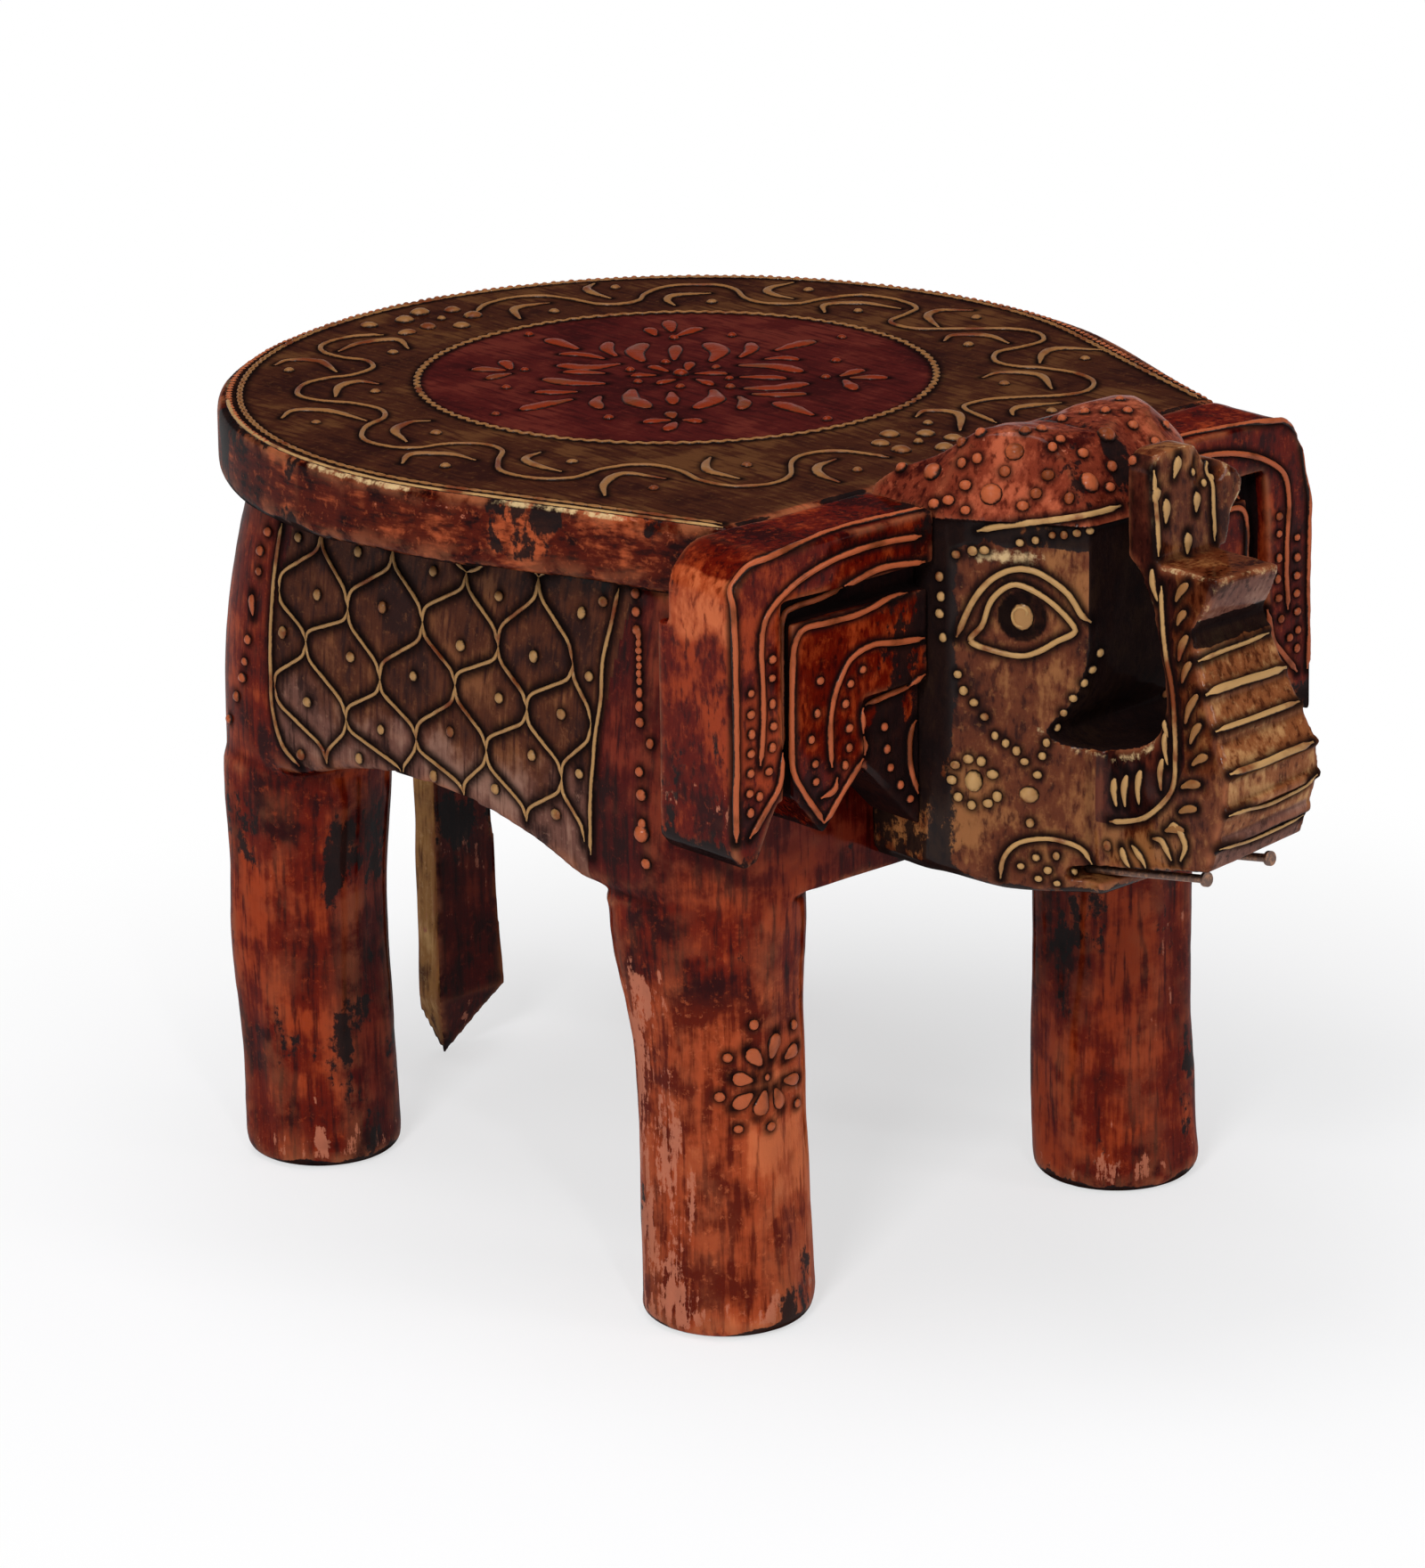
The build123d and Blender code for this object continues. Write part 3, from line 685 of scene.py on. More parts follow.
def paste():
    """Cone paste touched with copper or gold on its crown and dark wax at its foot."""
    shader = Shader("raised_paste")
    speck = shader.noise(900, 5.0, rough=0.7)
    broad = shader.noise(90, 4.0, shift=4.0)
    ramp = shader.tree.nodes.new("ShaderNodeValToRGB")
    shader.put(ramp, "Fac", shader.painted("tint"))
    stops = ramp.color_ramp.elements
    stops[0].position, stops[0].color = RED, (0.20, 0.022, 0.004, 1)
    stops[1].position, stops[1].color = GOLD, (0.43, 0.245, 0.095, 1)
    stops.new(COPPER).color = (0.38, 0.088, 0.032, 1)
    stops.new(DULL_GOLD).color = (0.26, 0.115, 0.038, 1)
    shade = shader.mix(shader.band(broad, 0.50, 0.68), ramp.outputs["Color"], (0.15, 0.034, 0.010))
    crown = shader.around(shader.painted("crown"), (speck, 0.9), (broad, 0.5))
    colour = shader.mix(shader.band(crown, 0.20, 0.62), (0.012, 0.006, 0.005), shade)
    shader.dress(
        Base_Color=colour, Specular_IOR_Level=0.05, Coat_Weight=0.12, Coat_Roughness=0.08,
        Roughness=shader.plus(0.24, shader.times(speck, 0.2)), Normal=shader.bump(speck, 0.5, 0.0003),
    )
    return shader.material


def bare_wood():
    shader = Shader("dowel_wood")
    ring = shader.noise(1500, 4.0, UPRIGHT)
    shader.dress(
        Base_Color=shader.mix(shader.band(ring, 0.35, 0.65), (0.33, 0.19, 0.09), (0.5, 0.34, 0.2)),
        Roughness=shader.plus(0.5, shader.times(ring, 0.3)), Normal=shader.bump(ring, 0.3, 0.0003),
    )
    return shader.material


def old_steel():
    shader = Shader("old_nail")
    rust = shader.noise(900, 6.0, rough=0.7)
    shader.dress(
        Metallic=0.85,
        Base_Color=shader.mix(shader.band(rust, 0.45, 0.65), (0.16, 0.10, 0.08), (0.42, 0.22, 0.13)),
        Roughness=shader.plus(0.25, shader.times(rust, 0.4)), Normal=shader.bump(rust, 0.4, 0.0002),
    )
    return shader.material


# --- Floor and light ----------------------------------------------------------------------------
FLOOR_REACH = 12.0
FLOOR_GLOW = 0.62        # share of the floor that shows as plain white near the stool
SHADOW_ENDS = (0.12, 0.32)     # the floor turns all white between these distances
LAMP_AIM = Vector((0.0, 0.03, 0.09))
# Name, place, width in metres and power in watts.
LAMPS = [
    ("sky_box", (-0.15, 0.05, 1.50), 0.9, 11.0),
    ("key_box", (-1.40, -0.85, 1.20), 0.4, 19.0),
    ("fill_box", (0.75, -1.70, 0.80), 0.5, 6.0),
    ("spark_box", (-0.75, -1.25, 1.30), 0.08, 4.0),
]


def make_floor():
    """Pale floor that keeps the shadow near the stool and turns white further away."""
    mesh = bpy.data.meshes.new("floor")
    corners = [(x * FLOOR_REACH, y * FLOOR_REACH, 0) for x, y in ((-1, -1), (1, -1), (1, 1), (-1, 1))]
    mesh.from_pydata(corners, [], [[0, 1, 2, 3]])
    floor = added("floor", mesh)
    shader = Shader("floor_paper")
    shader.dress(Base_Color=(0.93, 0.93, 0.95), Roughness=0.9, Specular_IOR_Level=0.1)
    tree = shader.tree
    glow = tree.nodes.new("ShaderNodeEmission")
    blend = tree.nodes.new("ShaderNodeMixShader")
    path = tree.nodes.new("ShaderNodeLightPath")
    length = tree.nodes.new("ShaderNodeVectorMath")
    length.operation = "LENGTH"
    tree.links.new(shader.place, length.inputs[0])
    far = shader.band(length.outputs["Value"], *SHADOW_ENDS)
    far = shader.plus(shader.times(far, 1 - FLOOR_GLOW), FLOOR_GLOW)
    seen = shader.math("MAXIMUM", path.outputs["Is Camera Ray"], path.outputs["Is Glossy Ray"])
    tree.links.new(shader.times(far, seen), blend.inputs[0])
    tree.links.new(shader.surface.outputs[0], blend.inputs[1])
    tree.links.new(glow.outputs[0], blend.inputs[2])
    tree.links.new(blend.outputs[0], tree.nodes["Material Output"].inputs["Surface"])
    mesh.materials.append(shader.material)


def make_world():
    """Soft studio surroundings: pale at the horizon and dimmer overhead."""
    world = bpy.data.worlds.new("studio")
    world.use_nodes = True
    bpy.context.scene.world = world
    tree = world.node_tree
    place = tree.nodes.new("ShaderNodeTexCoord")
    parts = tree.nodes.new("ShaderNodeSeparateXYZ")
    fade = tree.nodes.new("ShaderNodeMapRange")
    fade.interpolation_type = "SMOOTHSTEP"
    tree.links.new(place.outputs["Generated"], parts.inputs[0])
    tree.links.new(parts.outputs["Z"], fade.inputs["Value"])
    for socket, value in (("From Min", 0.02), ("From Max", 0.15), ("To Min", 0.90), ("To Max", 0.12)):
        fade.inputs[socket].default_value = value
    soft = tree.nodes["Background"]
    soft.inputs["Color"].default_value = (0.95, 0.96, 1.0, 1)
    tree.links.new(fade.outputs["Result"], soft.inputs["Strength"])


def softbox(name, place, size, power):
    """Square lamp that faces the middle of the stool."""
    lamp = bpy.data.lights.new(name, "AREA")
    lamp.size = size
    lamp.energy = power
    holder = added(name, lamp)
    holder.location = place
    holder.rotation_euler = (LAMP_AIM - Vector(place)).to_track_quat("-Z", "Y").to_euler()


# --- Pieces -------------------------------------------------------------------------------------
BROW = 180.5             # brow line of the cap above the floor
FRONT_LEGS = (60.0, -78.0)     # middle of a front leg: aside from the middle line, and back
REAR_LEGS = (62.0, 60.0)
OUTWARD, BACKWARD = 0.747, 0.664     # the way in which the legs bow and widen
TRUNK_HALF = 13          # half the width of the trunk
MEDALLION_MIDDLE = (3, 4)      # to the left and back of the seat's middle
MEDALLION_RADIUS = 58.3
CAP_LIMIT = 196.6        # the domes are squeezed above this height
# Name of each leg, and whether it is a left one and a front one.
LEGS = [
    ("front_left_leg", True, True),
    ("front_right_leg", False, True),
    ("rear_left_leg", True, False),
    ("rear_right_leg", False, False),
]
# Gold line down the side of the trunk, in (forward, height); behind it the side is near black as painted
# shade.
TRUNK_LINE = [
    (163.5, 172), (164, 165), (165, 158), (167, 150), (167.8, 142), (168, 135), (167.5, 130), (165, 126),
    (160, 121.5), (155, 119.3), (149, 117.7),
]


def carved(names, voxel):
    """Skin of CAD nodes, without the closed pockets inside."""
    form = remeshed(*node_shape(*names), voxel)
    label = np.arange(len(form.verts))
    a, b = form.edges[:, 0], form.edges[:, 1]
    while True:
        low = np.minimum(label[a], label[b])
        new = label.copy()
        np.minimum.at(new, a, low)
        np.minimum.at(new, b, low)
        new = new[new]
        if np.array_equal(new, label):
            break
        label = new
    main = np.bincount(label).argmax()
    keep = label == main
    order = np.cumsum(keep) - 1
    quads = form.quads[keep[form.quads].all(axis=1)]
    return Form(form.verts[keep], order[quads])


def make_seat_form():
    form = carved(["seat_board"], 1.0)
    form.smooth(2)
    v = form.verts
    x, y, z = v.T
    on_top = smoothstep(seat_top - 3, seat_top - 0.8, z)
    rim_wave = noise3(v * [1, 1, 0.4], 16, 2) * 0.55
    form.push(rim_wave * (1 - on_top) * (y > 1 - front_reach))
    turn, reach = np.arctan2(y, x), np.hypot(x, y)
    near_edge = smoothstep(12, 2, seat_edge(turn) - reach)
    swell = 2.6 * bell(turn, -0.45, 0.28) + 1.4 * bell(turn, 2.55, 0.40)
    v[:, :2] *= (1 + near_edge * swell / reach.clip(1))[:, None]
    z -= 1.6 * near_edge * bell(turn, 2.6, 0.45) * smoothstep(seat_top - 5, seat_under, z)
    x[:] = np.clip(x, 0.05 - seat_radius, seat_radius - 0.05)
    y[:] = np.minimum(y, seat_radius - 0.05)
    z += on_top * (noise3(v, 26, 5) * 0.16 + noise3(v, 6, 6) * 0.05)
    z[:] = np.minimum(z, seat_top)
    off_middle = np.hypot(x - MEDALLION_MIDDLE[0], y - MEDALLION_MIDDLE[1])
    form.paint["medallion"] = (off_middle < MEDALLION_RADIUS) * on_top
    reach = np.hypot(x, y)
    inset = seat_edge(np.arctan2(y, x)) - reach
    rim = np.maximum(1 - smoothstep(seat_top - 2.2, seat_top - 0.9, z), smoothstep(2.4, 1.4, inset))
    form.paint["rim"] = rim
    blot = smoothstep(0.0, 0.45, noise3(v * [1, 1, 1.2], 13, 9))
    # Black paint patches on the rim; the underside of the board is darkened as painted shade.
    form.paint["black_and_shade"] = 0.50 * rim * blot + 0.16 * rim + 0.5 * (z < seat_under + 1.2) * (reach > 60)
    form.paint["wear_and_sheen"] = 0.26 * rim * smoothstep(-0.1, 0.6, noise3(v * [1, 1, 0.5], 24, 4))
    lip = bell(inset, 0.6, 0.9) * smoothstep(seat_top - 2.6, seat_top - 1.2, z)
    lip = lip * np.where(y < 1.5 - front_reach, 0.35, 0.62)
    form.paint["gilt"] = lip * smoothstep(-0.45, 0.25, noise3(v, 17, 8) + 0.5 * noise3(v, 4, 7))
    form.find_ridges()
    return form


def bow_legs(v, centre_x, centre_y):
    """The rear legs bow outward and back; the front legs widen into the belly behind them."""
    x, y, z = v.T
    below = smoothstep(99, 95, z)
    aside = np.sign(x)
    away_x, away_y = normalised(np.stack([x - centre_x, y - centre_y], axis=1)).T
    toward = np.clip(away_x * aside * OUTWARD + away_y * BACKWARD, 0, 1)
    rear = (y > 0) * below
    bow = 1.6 * bell(z, 60, 25) * rear
    x += aside * OUTWARD * bow + away_x * 0.6 * rear
    y += BACKWARD * bow + away_y * 0.6 * rear
    web = 3.4 * toward**2 * smoothstep(58, 90, z) * (y < 0) * below
    x += aside * OUTWARD * web
    y += BACKWARD * web
    x[:] = np.clip(x, 0.3 - body_half_width, body_half_width - 0.3)


def make_body_form():
    form = carved(["body_block", *[name for name, _, _ in LEGS], "leg_dowels"], 1.0)
    v = form.verts
    x, y, z = v.T
    near_joint = bell(z, belly_height, 8.0) * (z < seat_under - 4)
    form.smooth(30, near_joint * smoothstep(50, 66, np.abs(x)))
    form.smooth(3)
    on_leg = 1 - smoothstep(belly_height - 12, belly_height + 6, z)
    centre_x = np.sign(x) * np.where(y < 0, FRONT_LEGS[0], REAR_LEGS[0])
    centre_y = np.where(y < 0, FRONT_LEGS[1], REAR_LEGS[1])
    turn = np.arctan2(y - centre_y, x - centre_x)
    facet = np.cos(7 * turn + 2.5 * noise3(v * [0.3, 0.3, 1], 30, 31)) * 0.45
    sway = noise3(v * [0.25, 0.25, 1.0], 24, 33) * 0.7
    hold = smoothstep(0.5, 6, z) * smoothstep(seat_under, seat_under - 8, z)
    form.push((on_leg * (facet + sway) + noise3(v, 12, 35) * 0.22 + noise3(v, 3.2, 36) * 0.06) * hold - 0.1)
    bow_legs(v, centre_x, centre_y)
    z[:] = np.maximum(z, 0.0)
    paint_body(form, on_leg, turn)
    form.find_ridges()
    return form


def paint_body(form, on_leg, turn):
    """Zones, wear, painted shade and painted sheen of the body and legs; turn is the direction from the
    middle of the nearest leg.
    """
    v = form.verts
    x, y, z = v.T
    forward = -y
    front_line = np.interp(z, [100, 118, 125, 140, 158, 166], [60, 60.5, 61.5, 64.5, 68.5, 71])
    rear_line = np.interp(z, [98, 106, 122, 141, 157, 166], [-44, -47, -49, -47, -43, -40])
    flank = (np.abs(x) > 60) * (forward < front_line) * (forward > rear_line)
    flank = flank * (z > np.interp(forward, [-46, -28, 0], [104, 99, 90]))
    form.paint["lattice"] = flank.astype(float)
    height = z + 10 * noise3(v, 30, 41)
    # Orange low on the near front leg alone: partly the leg's paint and partly painted light on the leg
    # that faces the lamps, so the other legs stay darker.
    form.paint["leg"] = (1 - smoothstep(60, 98, height)) * (1 - flank) * ((x < 0) * (y < 0))
    # Paler pinkish lower lattice cells: dust, and painted sheen of the pale floor on the surface turning
    # downward.
    form.paint["dust_and_sheen"] = 0.75 * smoothstep(134, 106, z + 6 * noise3(v, 20, 46)) * flank
    away = -np.sign(x) * OUTWARD * np.cos(turn) - BACKWARD * np.sin(turn)
    # inner: the inward faces of the rear legs, which get painted shade.
    inner = smoothstep(0.10, 0.50, away) * (y > 0) * smoothstep(100, 80, z)
    # Russet low on the body and legs and on the hips, deep red higher up: the darker red towards the belly
    # and seat is partly paint and partly painted shade, the lighter hips also stand for their sheen, and
    # the inner faces of the rear legs keep the deep red as painted shade.
    middle = np.maximum(1 - smoothstep(84, 116, height), smoothstep(44, 50, y)) * (1 - flank)
    form.paint["middle"] = middle * (1 - 0.8 * inner)
    low = 1 - smoothstep(0.6, 2.6, z + 1.2 * noise3(v, 7, 43))
    # under: painted shade between the legs, under the belly.
    under = (np.abs(x) < 40) * smoothstep(seat_under, 90, z)
    # shade: painted shadow under the overhang of the seat.
    shade = smoothstep(seat_under - 9, seat_under - 2, z) * 0.6 * (0.35 + 0.65 * flank)
    blot = smoothstep(-0.1, 0.6, noise3(v * [1, 1, 0.6], 17, 44))
    # Black paint patches on the legs, with painted shade on the inner faces of the rear legs.
    patches_and_shade = on_leg * (0.12 + 0.30 * inner + 0.32 * blot)
    form.paint["black_and_shade"] = np.clip(low + 0.35 * under + shade + patches_and_shade, 0, 1)
    # Pale copper on the outer side of the near front leg: partly wear and partly painted sheen on that side
    # of the leg.
    near_front = smoothstep(-20, 20, forward) * (x < 0)
    outer = smoothstep(0.55, 0.95, form.normals() @ np.array([-0.93, 0.36, 0]))
    rub_and_sheen = near_front * outer * smoothstep(92, 78, z) * 0.38
    rub_and_sheen += on_leg * 0.16 * (1 + noise3(v * [1, 1, 0.4], 22, 45))
    rub_and_sheen += 0.25 * smoothstep(14, 6, z) * smoothstep(1.5, 4, z)
    form.paint["wear_and_sheen"] = np.clip(rub_and_sheen, 0, 0.50)


def reshape_cap(v):
    """The domes rise slowly from the seat, the valley is shallow and the left dome is the fuller one."""
    x, y, z = v.T
    forward = -y
    z -= 4.2 * (np.clip(z - BROW, 0, None) / 16.0) * bell(forward, 106, 8.0)
    fill = bell(x, 0, 5.5) * smoothstep(98, 110, forward) * smoothstep(145, 134, forward)
    z += 3.0 * fill * smoothstep(BROW + 1, BROW + 6, z)
    full = smoothstep(8, 20, x) * smoothstep(BROW, BROW + 7, z)
    ahead = smoothstep(118, 130, forward)
    x[:] = np.where(full > 0, np.minimum(x + (5.0 + 2.5 * ahead) * full, 33.0), x)
    z += (0.6 + 1.6 * ahead * smoothstep(144, 138, forward)) * full
    z -= 0.5 * np.clip(z - CAP_LIMIT, 0, None)


# Across the front of the trunk, by height: how much the ribs climb to the left and how far they stand out.
TRUNK_HEIGHTS = [112, 119, 126.8, 134.6, 142.4, 150.2, 158]
RIB_CLIMB = [2.6, 2.5, 2.6, 1.95, 1.5, 1.0, 1.2]
RIB_OUT = [-1.2, -1.0, -0.6, 2.4, 1.2, 0.4, -0.4]


def reshape_trunk(v):
    """The ribs run uphill to the elephant's left and the front of the trunk is bowed."""
    x, y, z = v.T
    front = smoothstep(152, 166, -y) * smoothstep(109, 113, z) * smoothstep(168, 161, z)
    across = np.clip((x + TRUNK_HALF) / (2 * TRUNK_HALF), -0.1, 1.1)
    out = np.interp(z, TRUNK_HEIGHTS, RIB_OUT)
    climb = np.interp(z, TRUNK_HEIGHTS, RIB_CLIMB)
    x *= 1 + 0.06 * front
    y -= out * front
    z += (0.5 + climb * across) * front


def trunk_line(height):
    """How far forward the gold line down the trunk lies at a height."""
    return np.interp(height, *zip(*[(z, forward) for forward, z in TRUNK_LINE[::-1]]))


def make_head_form():
    form = carved(["head_and_trunk"], 0.6)
    form.smooth(3)
    v = form.verts
    x, y, z = v.T
    forward = -y
    reshape_cap(v)
    reshape_trunk(v)
    chin = smoothstep(112, 100, z) * smoothstep(134, 114, forward) * smoothstep(16, 30, np.abs(x))
    z += 3.2 * chin
    tip = smoothstep(152, 157, forward)
    pit = np.exp(-(((x - 9.6) / 2.3) ** 2) - ((z - 191.0) / 2.0) ** 2) * tip
    notch = np.exp(-(((x - 4.4) / 1.3) ** 2) - ((z - 192.5) / 4.5) ** 2) * tip
    y += pit * 2.6 + notch
    cheek = (np.abs(x) > 12) * (forward < 146) * smoothstep(179, 172, z)
    form.push(noise3(v, 11, 51) * 0.22 + noise3(v, 3, 52) * 0.06 - 0.12 + cheek * noise3(v, 24, 53) * 0.5)
    form.find_ridges()
    paint_head(form, forward)
    return form


def paint_head(form, forward):
    """Zones, wear, painted shade and painted sheen of the head, by how far forward each point lay before
    the trunk was bowed.
    """
    x, _, z = form.verts.T
    facing_x, facing_y, facing_z = form.normals().T
    on_cap = smoothstep(BROW - 0.6, BROW + 0.4, z) * (forward < 147)
    form.paint["cap"] = on_cap
    front = (forward > 163) * (np.abs(x) < TRUNK_HALF - 0.1) * (facing_y < -0.3)
    ribs = smoothstep(113, 116, z) * smoothstep(164, 161, z) * front
    form.paint["ribs"] = ribs
    # Pale pinkish colour on the lip's front and below the ribs: painted reflection of the pale floor.
    lip_front = (z > 163) * (z < 173.5) * (forward > 168) * (facing_y < -0.4)
    below_ribs = smoothstep(125, 121, z - 0.1 * x) * front
    form.paint["dust_and_sheen"] = np.clip(0.8 * lip_front + 0.85 * below_ribs, 0, 1)
    # The sides of the trunk behind its gold line are near black: painted shade.
    side = smoothstep(0.5, 0.8, np.abs(facing_x)) * (z > 117) * (forward > 145)
    form.paint["side_shade"] = side * (forward < trunk_line(z))
    # in_curl and curl: the inside of the curl hollow is near black, painted shade of the deep recess.
    in_curl = (forward > 133) * (forward < 166) * (z > 126) * (z < BROW)
    floor = np.clip(facing_z, 0, 1) * (z < 168)
    inward = np.clip(np.where(forward > 152, facing_y, -facing_y), 0, 1) + floor
    curl = in_curl * smoothstep(0.15, 0.45, inward) * smoothstep(0.62, 0.40, np.abs(facing_x))
    # under: painted shade on the faces that look down, low on the head.
    under = smoothstep(-0.2, -0.8, facing_z) * (z < 125)
    band = smoothstep(BROW - 6.5, BROW - 4.5, z) * (z < BROW + 0.3) * (forward < 146) * (forward > 118)
    level = z - 0.04 * (x + TRUNK_HALF)
    groove = smoothstep(158.5, 160, level) * smoothstep(166, 164, level) * front
    # beside: painted shade on the side of the head between the ear and the face.
    beside = smoothstep(122, 117, forward) * (z < BROW) * (0.5 + 0.5 * smoothstep(106, 124, z))
    # valley: dark paint, with painted shade in the dip between the domes and on the cap's front slope.
    valley = on_cap * smoothstep(4.0, 1.0, np.abs(x)) * 0.22
    valley += on_cap * (smoothstep(128, 140, forward) * smoothstep(26, 12, np.abs(x)) * 0.20 + 0.13)
    low_jaw = smoothstep(112, 104, z) * (forward < 150) * 0.12
    dark = 1.3 * curl + 0.5 * under + 0.7 * band + groove + 0.8 * beside + valley + low_jaw + 0.1
    form.paint["black_and_shade"] = np.clip(dark, 0, 1.3)
    form.paint["wear_and_sheen"] = 0.22 * on_cap
    crown = smoothstep(0.2, 0.6, form.paint["ridge"])
    brow = bell(z, 173, 2.6) * smoothstep(118, 124, forward) * smoothstep(140, 132, forward)
    floor_edge = np.interp(forward, [134, 138, 149, 156, 161], [138, 134.5, 133, 135.5, 140])
    sill = bell(z - floor_edge, -1.8, 1.8) * (forward > 134) * (forward < 160) * (1 - curl)
    rubbed = crown * (0.15 * ribs + 0.45 * (z > 165) * (forward > 150))
    form.paint["gilt"] = rubbed + 0.62 * brow + 0.5 * sill
    form.paint["ridge"] = form.paint["ridge"] * (1 - curl)


def make_ear_form(name, side):
    form = carved([name], 0.55)
    form.smooth(3)
    v = form.verts
    x, _, z = v.T
    if side > 0:
        corner = smoothstep(64, 72, x) * smoothstep(134, 118, z)
        x[:] = np.minimum(x + 4 * corner, x.max())
        z -= 3 * corner
        x -= 3.2 * smoothstep(158, 176, z) * smoothstep(55, 83, x)
    form.push(noise3(v, 12, 61 + side) * 0.2 + noise3(v, 3, 63 + side) * 0.05 - 0.1)
    facing_x, _, facing_z = form.normals().T
    outside = smoothstep(0.3, 0.8, np.abs(facing_x)) * (np.abs(x) > 78)
    # corner: the outer top corner of the ear gets the orange palette as a painted highlight.
    corner = smoothstep(158, 172, z) * outside * smoothstep(0.75, 0.45, facing_z)
    form.paint["corner"] = corner
    slot = groove_share(v, side)
    # by_head: painted shade where the ear meets the head.
    by_head = smoothstep(52, 40, np.abs(x)) * (0.30 + 0.25 * smoothstep(150, 130, z))
    # hidden: painted shade on the far ear's inner lower part.
    hidden = (side > 0) * smoothstep(62, 54, x) * smoothstep(150, 142, z)
    # tips: darker towards the lower end of the ear.
    tips = 0.55 * smoothstep(124, 117, z) + 0.14 * smoothstep(160, 125, z)
    form.paint["black_and_shade"] = np.clip(1.1 * slot + tips + hidden + by_head + 0.14, 0, 1.2)
    # Rubbed copper low on the outer edge; on the top corner it adds to the painted highlight.
    form.paint["wear_and_sheen"] = 0.22 * corner + 0.42 * (outside * bell(z, 129, 6.0))
    form.find_ridges()
    return form


def groove_share(v, side):
    """Floor of the groove between the outer and the middle pleat, which was left black."""
    low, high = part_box("right_ear" if side < 0 else "left_ear")
    inward = max(-low.x, high.x) / MM - v[:, 0] * side
    drop = seat_top - v[:, 2]
    forward = -v[:, 1]
    upright = (inward < 18.7) * (drop > 11)
    level = (drop > 11.0) * (drop < 18.0)
    deep = (forward > front_reach + 12) * (forward < front_reach + 16.5)
    return ((upright | level) * (inward > 13.6) * deep).astype(float)


def make_tail_form():
    form = carved(["tail"], 0.7)
    form.smooth(1)
    v = form.verts
    z = v[:, 2]
    facing_x, facing_y, _ = form.normals().T
    form.push(noise3(v, 10, 71) * 0.2 + 0.5 * smoothstep(0.3, 0.8, facing_y) * smoothstep(160, 140, z))
    z[:] = np.maximum(z, 0.3)
    # Lighter colour on the tail's side faces and a darker front face at mid height: partly paint and partly
    # painted light and shade.
    form.paint["tip"] = smoothstep(0.55, 0.85, np.abs(facing_x))
    form.paint["black_and_shade"] = 0.12 + 0.5 * bell(z, 62, 12) * smoothstep(-0.3, -0.8, facing_y)
    form.paint["wear_and_sheen"] = 0.25 * (1 + noise3(v, 18, 73))
    form.find_ridges()
    return form


def cut_flat(piece, height, keep_above):
    """Cuts a closed piece at a height and closes the cut."""
    work = bmesh.new()
    work.from_mesh(piece.data)
    everything = work.verts[:] + work.edges[:] + work.faces[:]
    cut = bmesh.ops.bisect_plane(
        work, geom=everything, plane_co=(0, 0, height), plane_no=(0, 0, 1),
        clear_inner=keep_above, clear_outer=not keep_above,
    )
    rim = [e for e in cut["geom_cut"] if isinstance(e, bmesh.types.BMEdge)]
    for face in bmesh.ops.holes_fill(work, edges=rim)["faces"]:
        face.smooth = False
    for edge in rim:
        edge.smooth = False
    work.to_mesh(piece.data)
    work.free()


def keep_quarter(piece, left, front):
    """Leaves one leg of the four."""
    work = bmesh.new()
    work.from_mesh(piece.data)
    gone = [v for v in work.verts if (v.co.x > 0) != left or (v.co.y / MM - seat_y < 0) != front]
    bmesh.ops.delete(work, geom=gone, context="VERTS")
    work.to_mesh(piece.data)
    work.free()


def place_body(form, material):
    block = write_object("carved_body", form.verts, form.quads, material, form.paint)
    cut_flat(block, belly_height * MM, True)
    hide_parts("body_block")
    legs = write_object("all_legs", form.verts, form.quads, material, form.paint)
    cut_flat(legs, belly_height * MM, False)
    for name, left, front in LEGS:
        leg = added("carved_" + name, legs.data.copy())
        keep_quarter(leg, left, front)
        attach(leg, "root")
        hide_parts(name)
    bpy.data.objects.remove(legs)


# --- Ornament on the seat -----------------------------------------------------------------------
# Millimetres to the left and back from the middle of the seat.
VINE_LEFT = [
    (9, 81.5), (16, 85.5), (25, 85.5), (31, 80), (33, 72), (34, 66), (38, 62.5), (43, 62.5), (48, 66),
    (55, 68), (61, 66), (66, 60), (66, 54), (62, 46), (62, 39), (67, 33.5), (75, 32.5), (83, 29), (86, 20),
    (84, 11), (78, 8), (71, 6), (69, 0), (71, -5), (78, -12), (85, -19), (87, -26), (83, -32), (76, -33),
    (68, -32.5), (62, -38), (62, -45), (65, -50), (67, -58), (65, -66), (58, -71), (51, -70), (44, -65),
    (37, -61), (30, -61), (27, -66), (25, -76),
]
VINE_RIGHT = [
    (-20, 80), (-28, 84), (-36, 82.5), (-40, 77), (-40, 70), (-38, 64), (-41, 58), (-48, 56), (-55, 58),
    (-62, 57), (-68, 51), (-68, 44), (-64, 36), (-63, 28), (-67, 22), (-75, 18.5), (-81, 12), (-82, 5),
    (-79, -2), (-71, -5), (-66, -10), (-66, -17), (-72, -23), (-77, -30), (-76, -39), (-70, -45),
    (-60, -44), (-52, -48), (-50, -56), (-52, -66), (-50, -74), (-43, -78), (-36, -76), (-28, -68),
    (-21, -66), (-15, -70), (-11, -80),
]
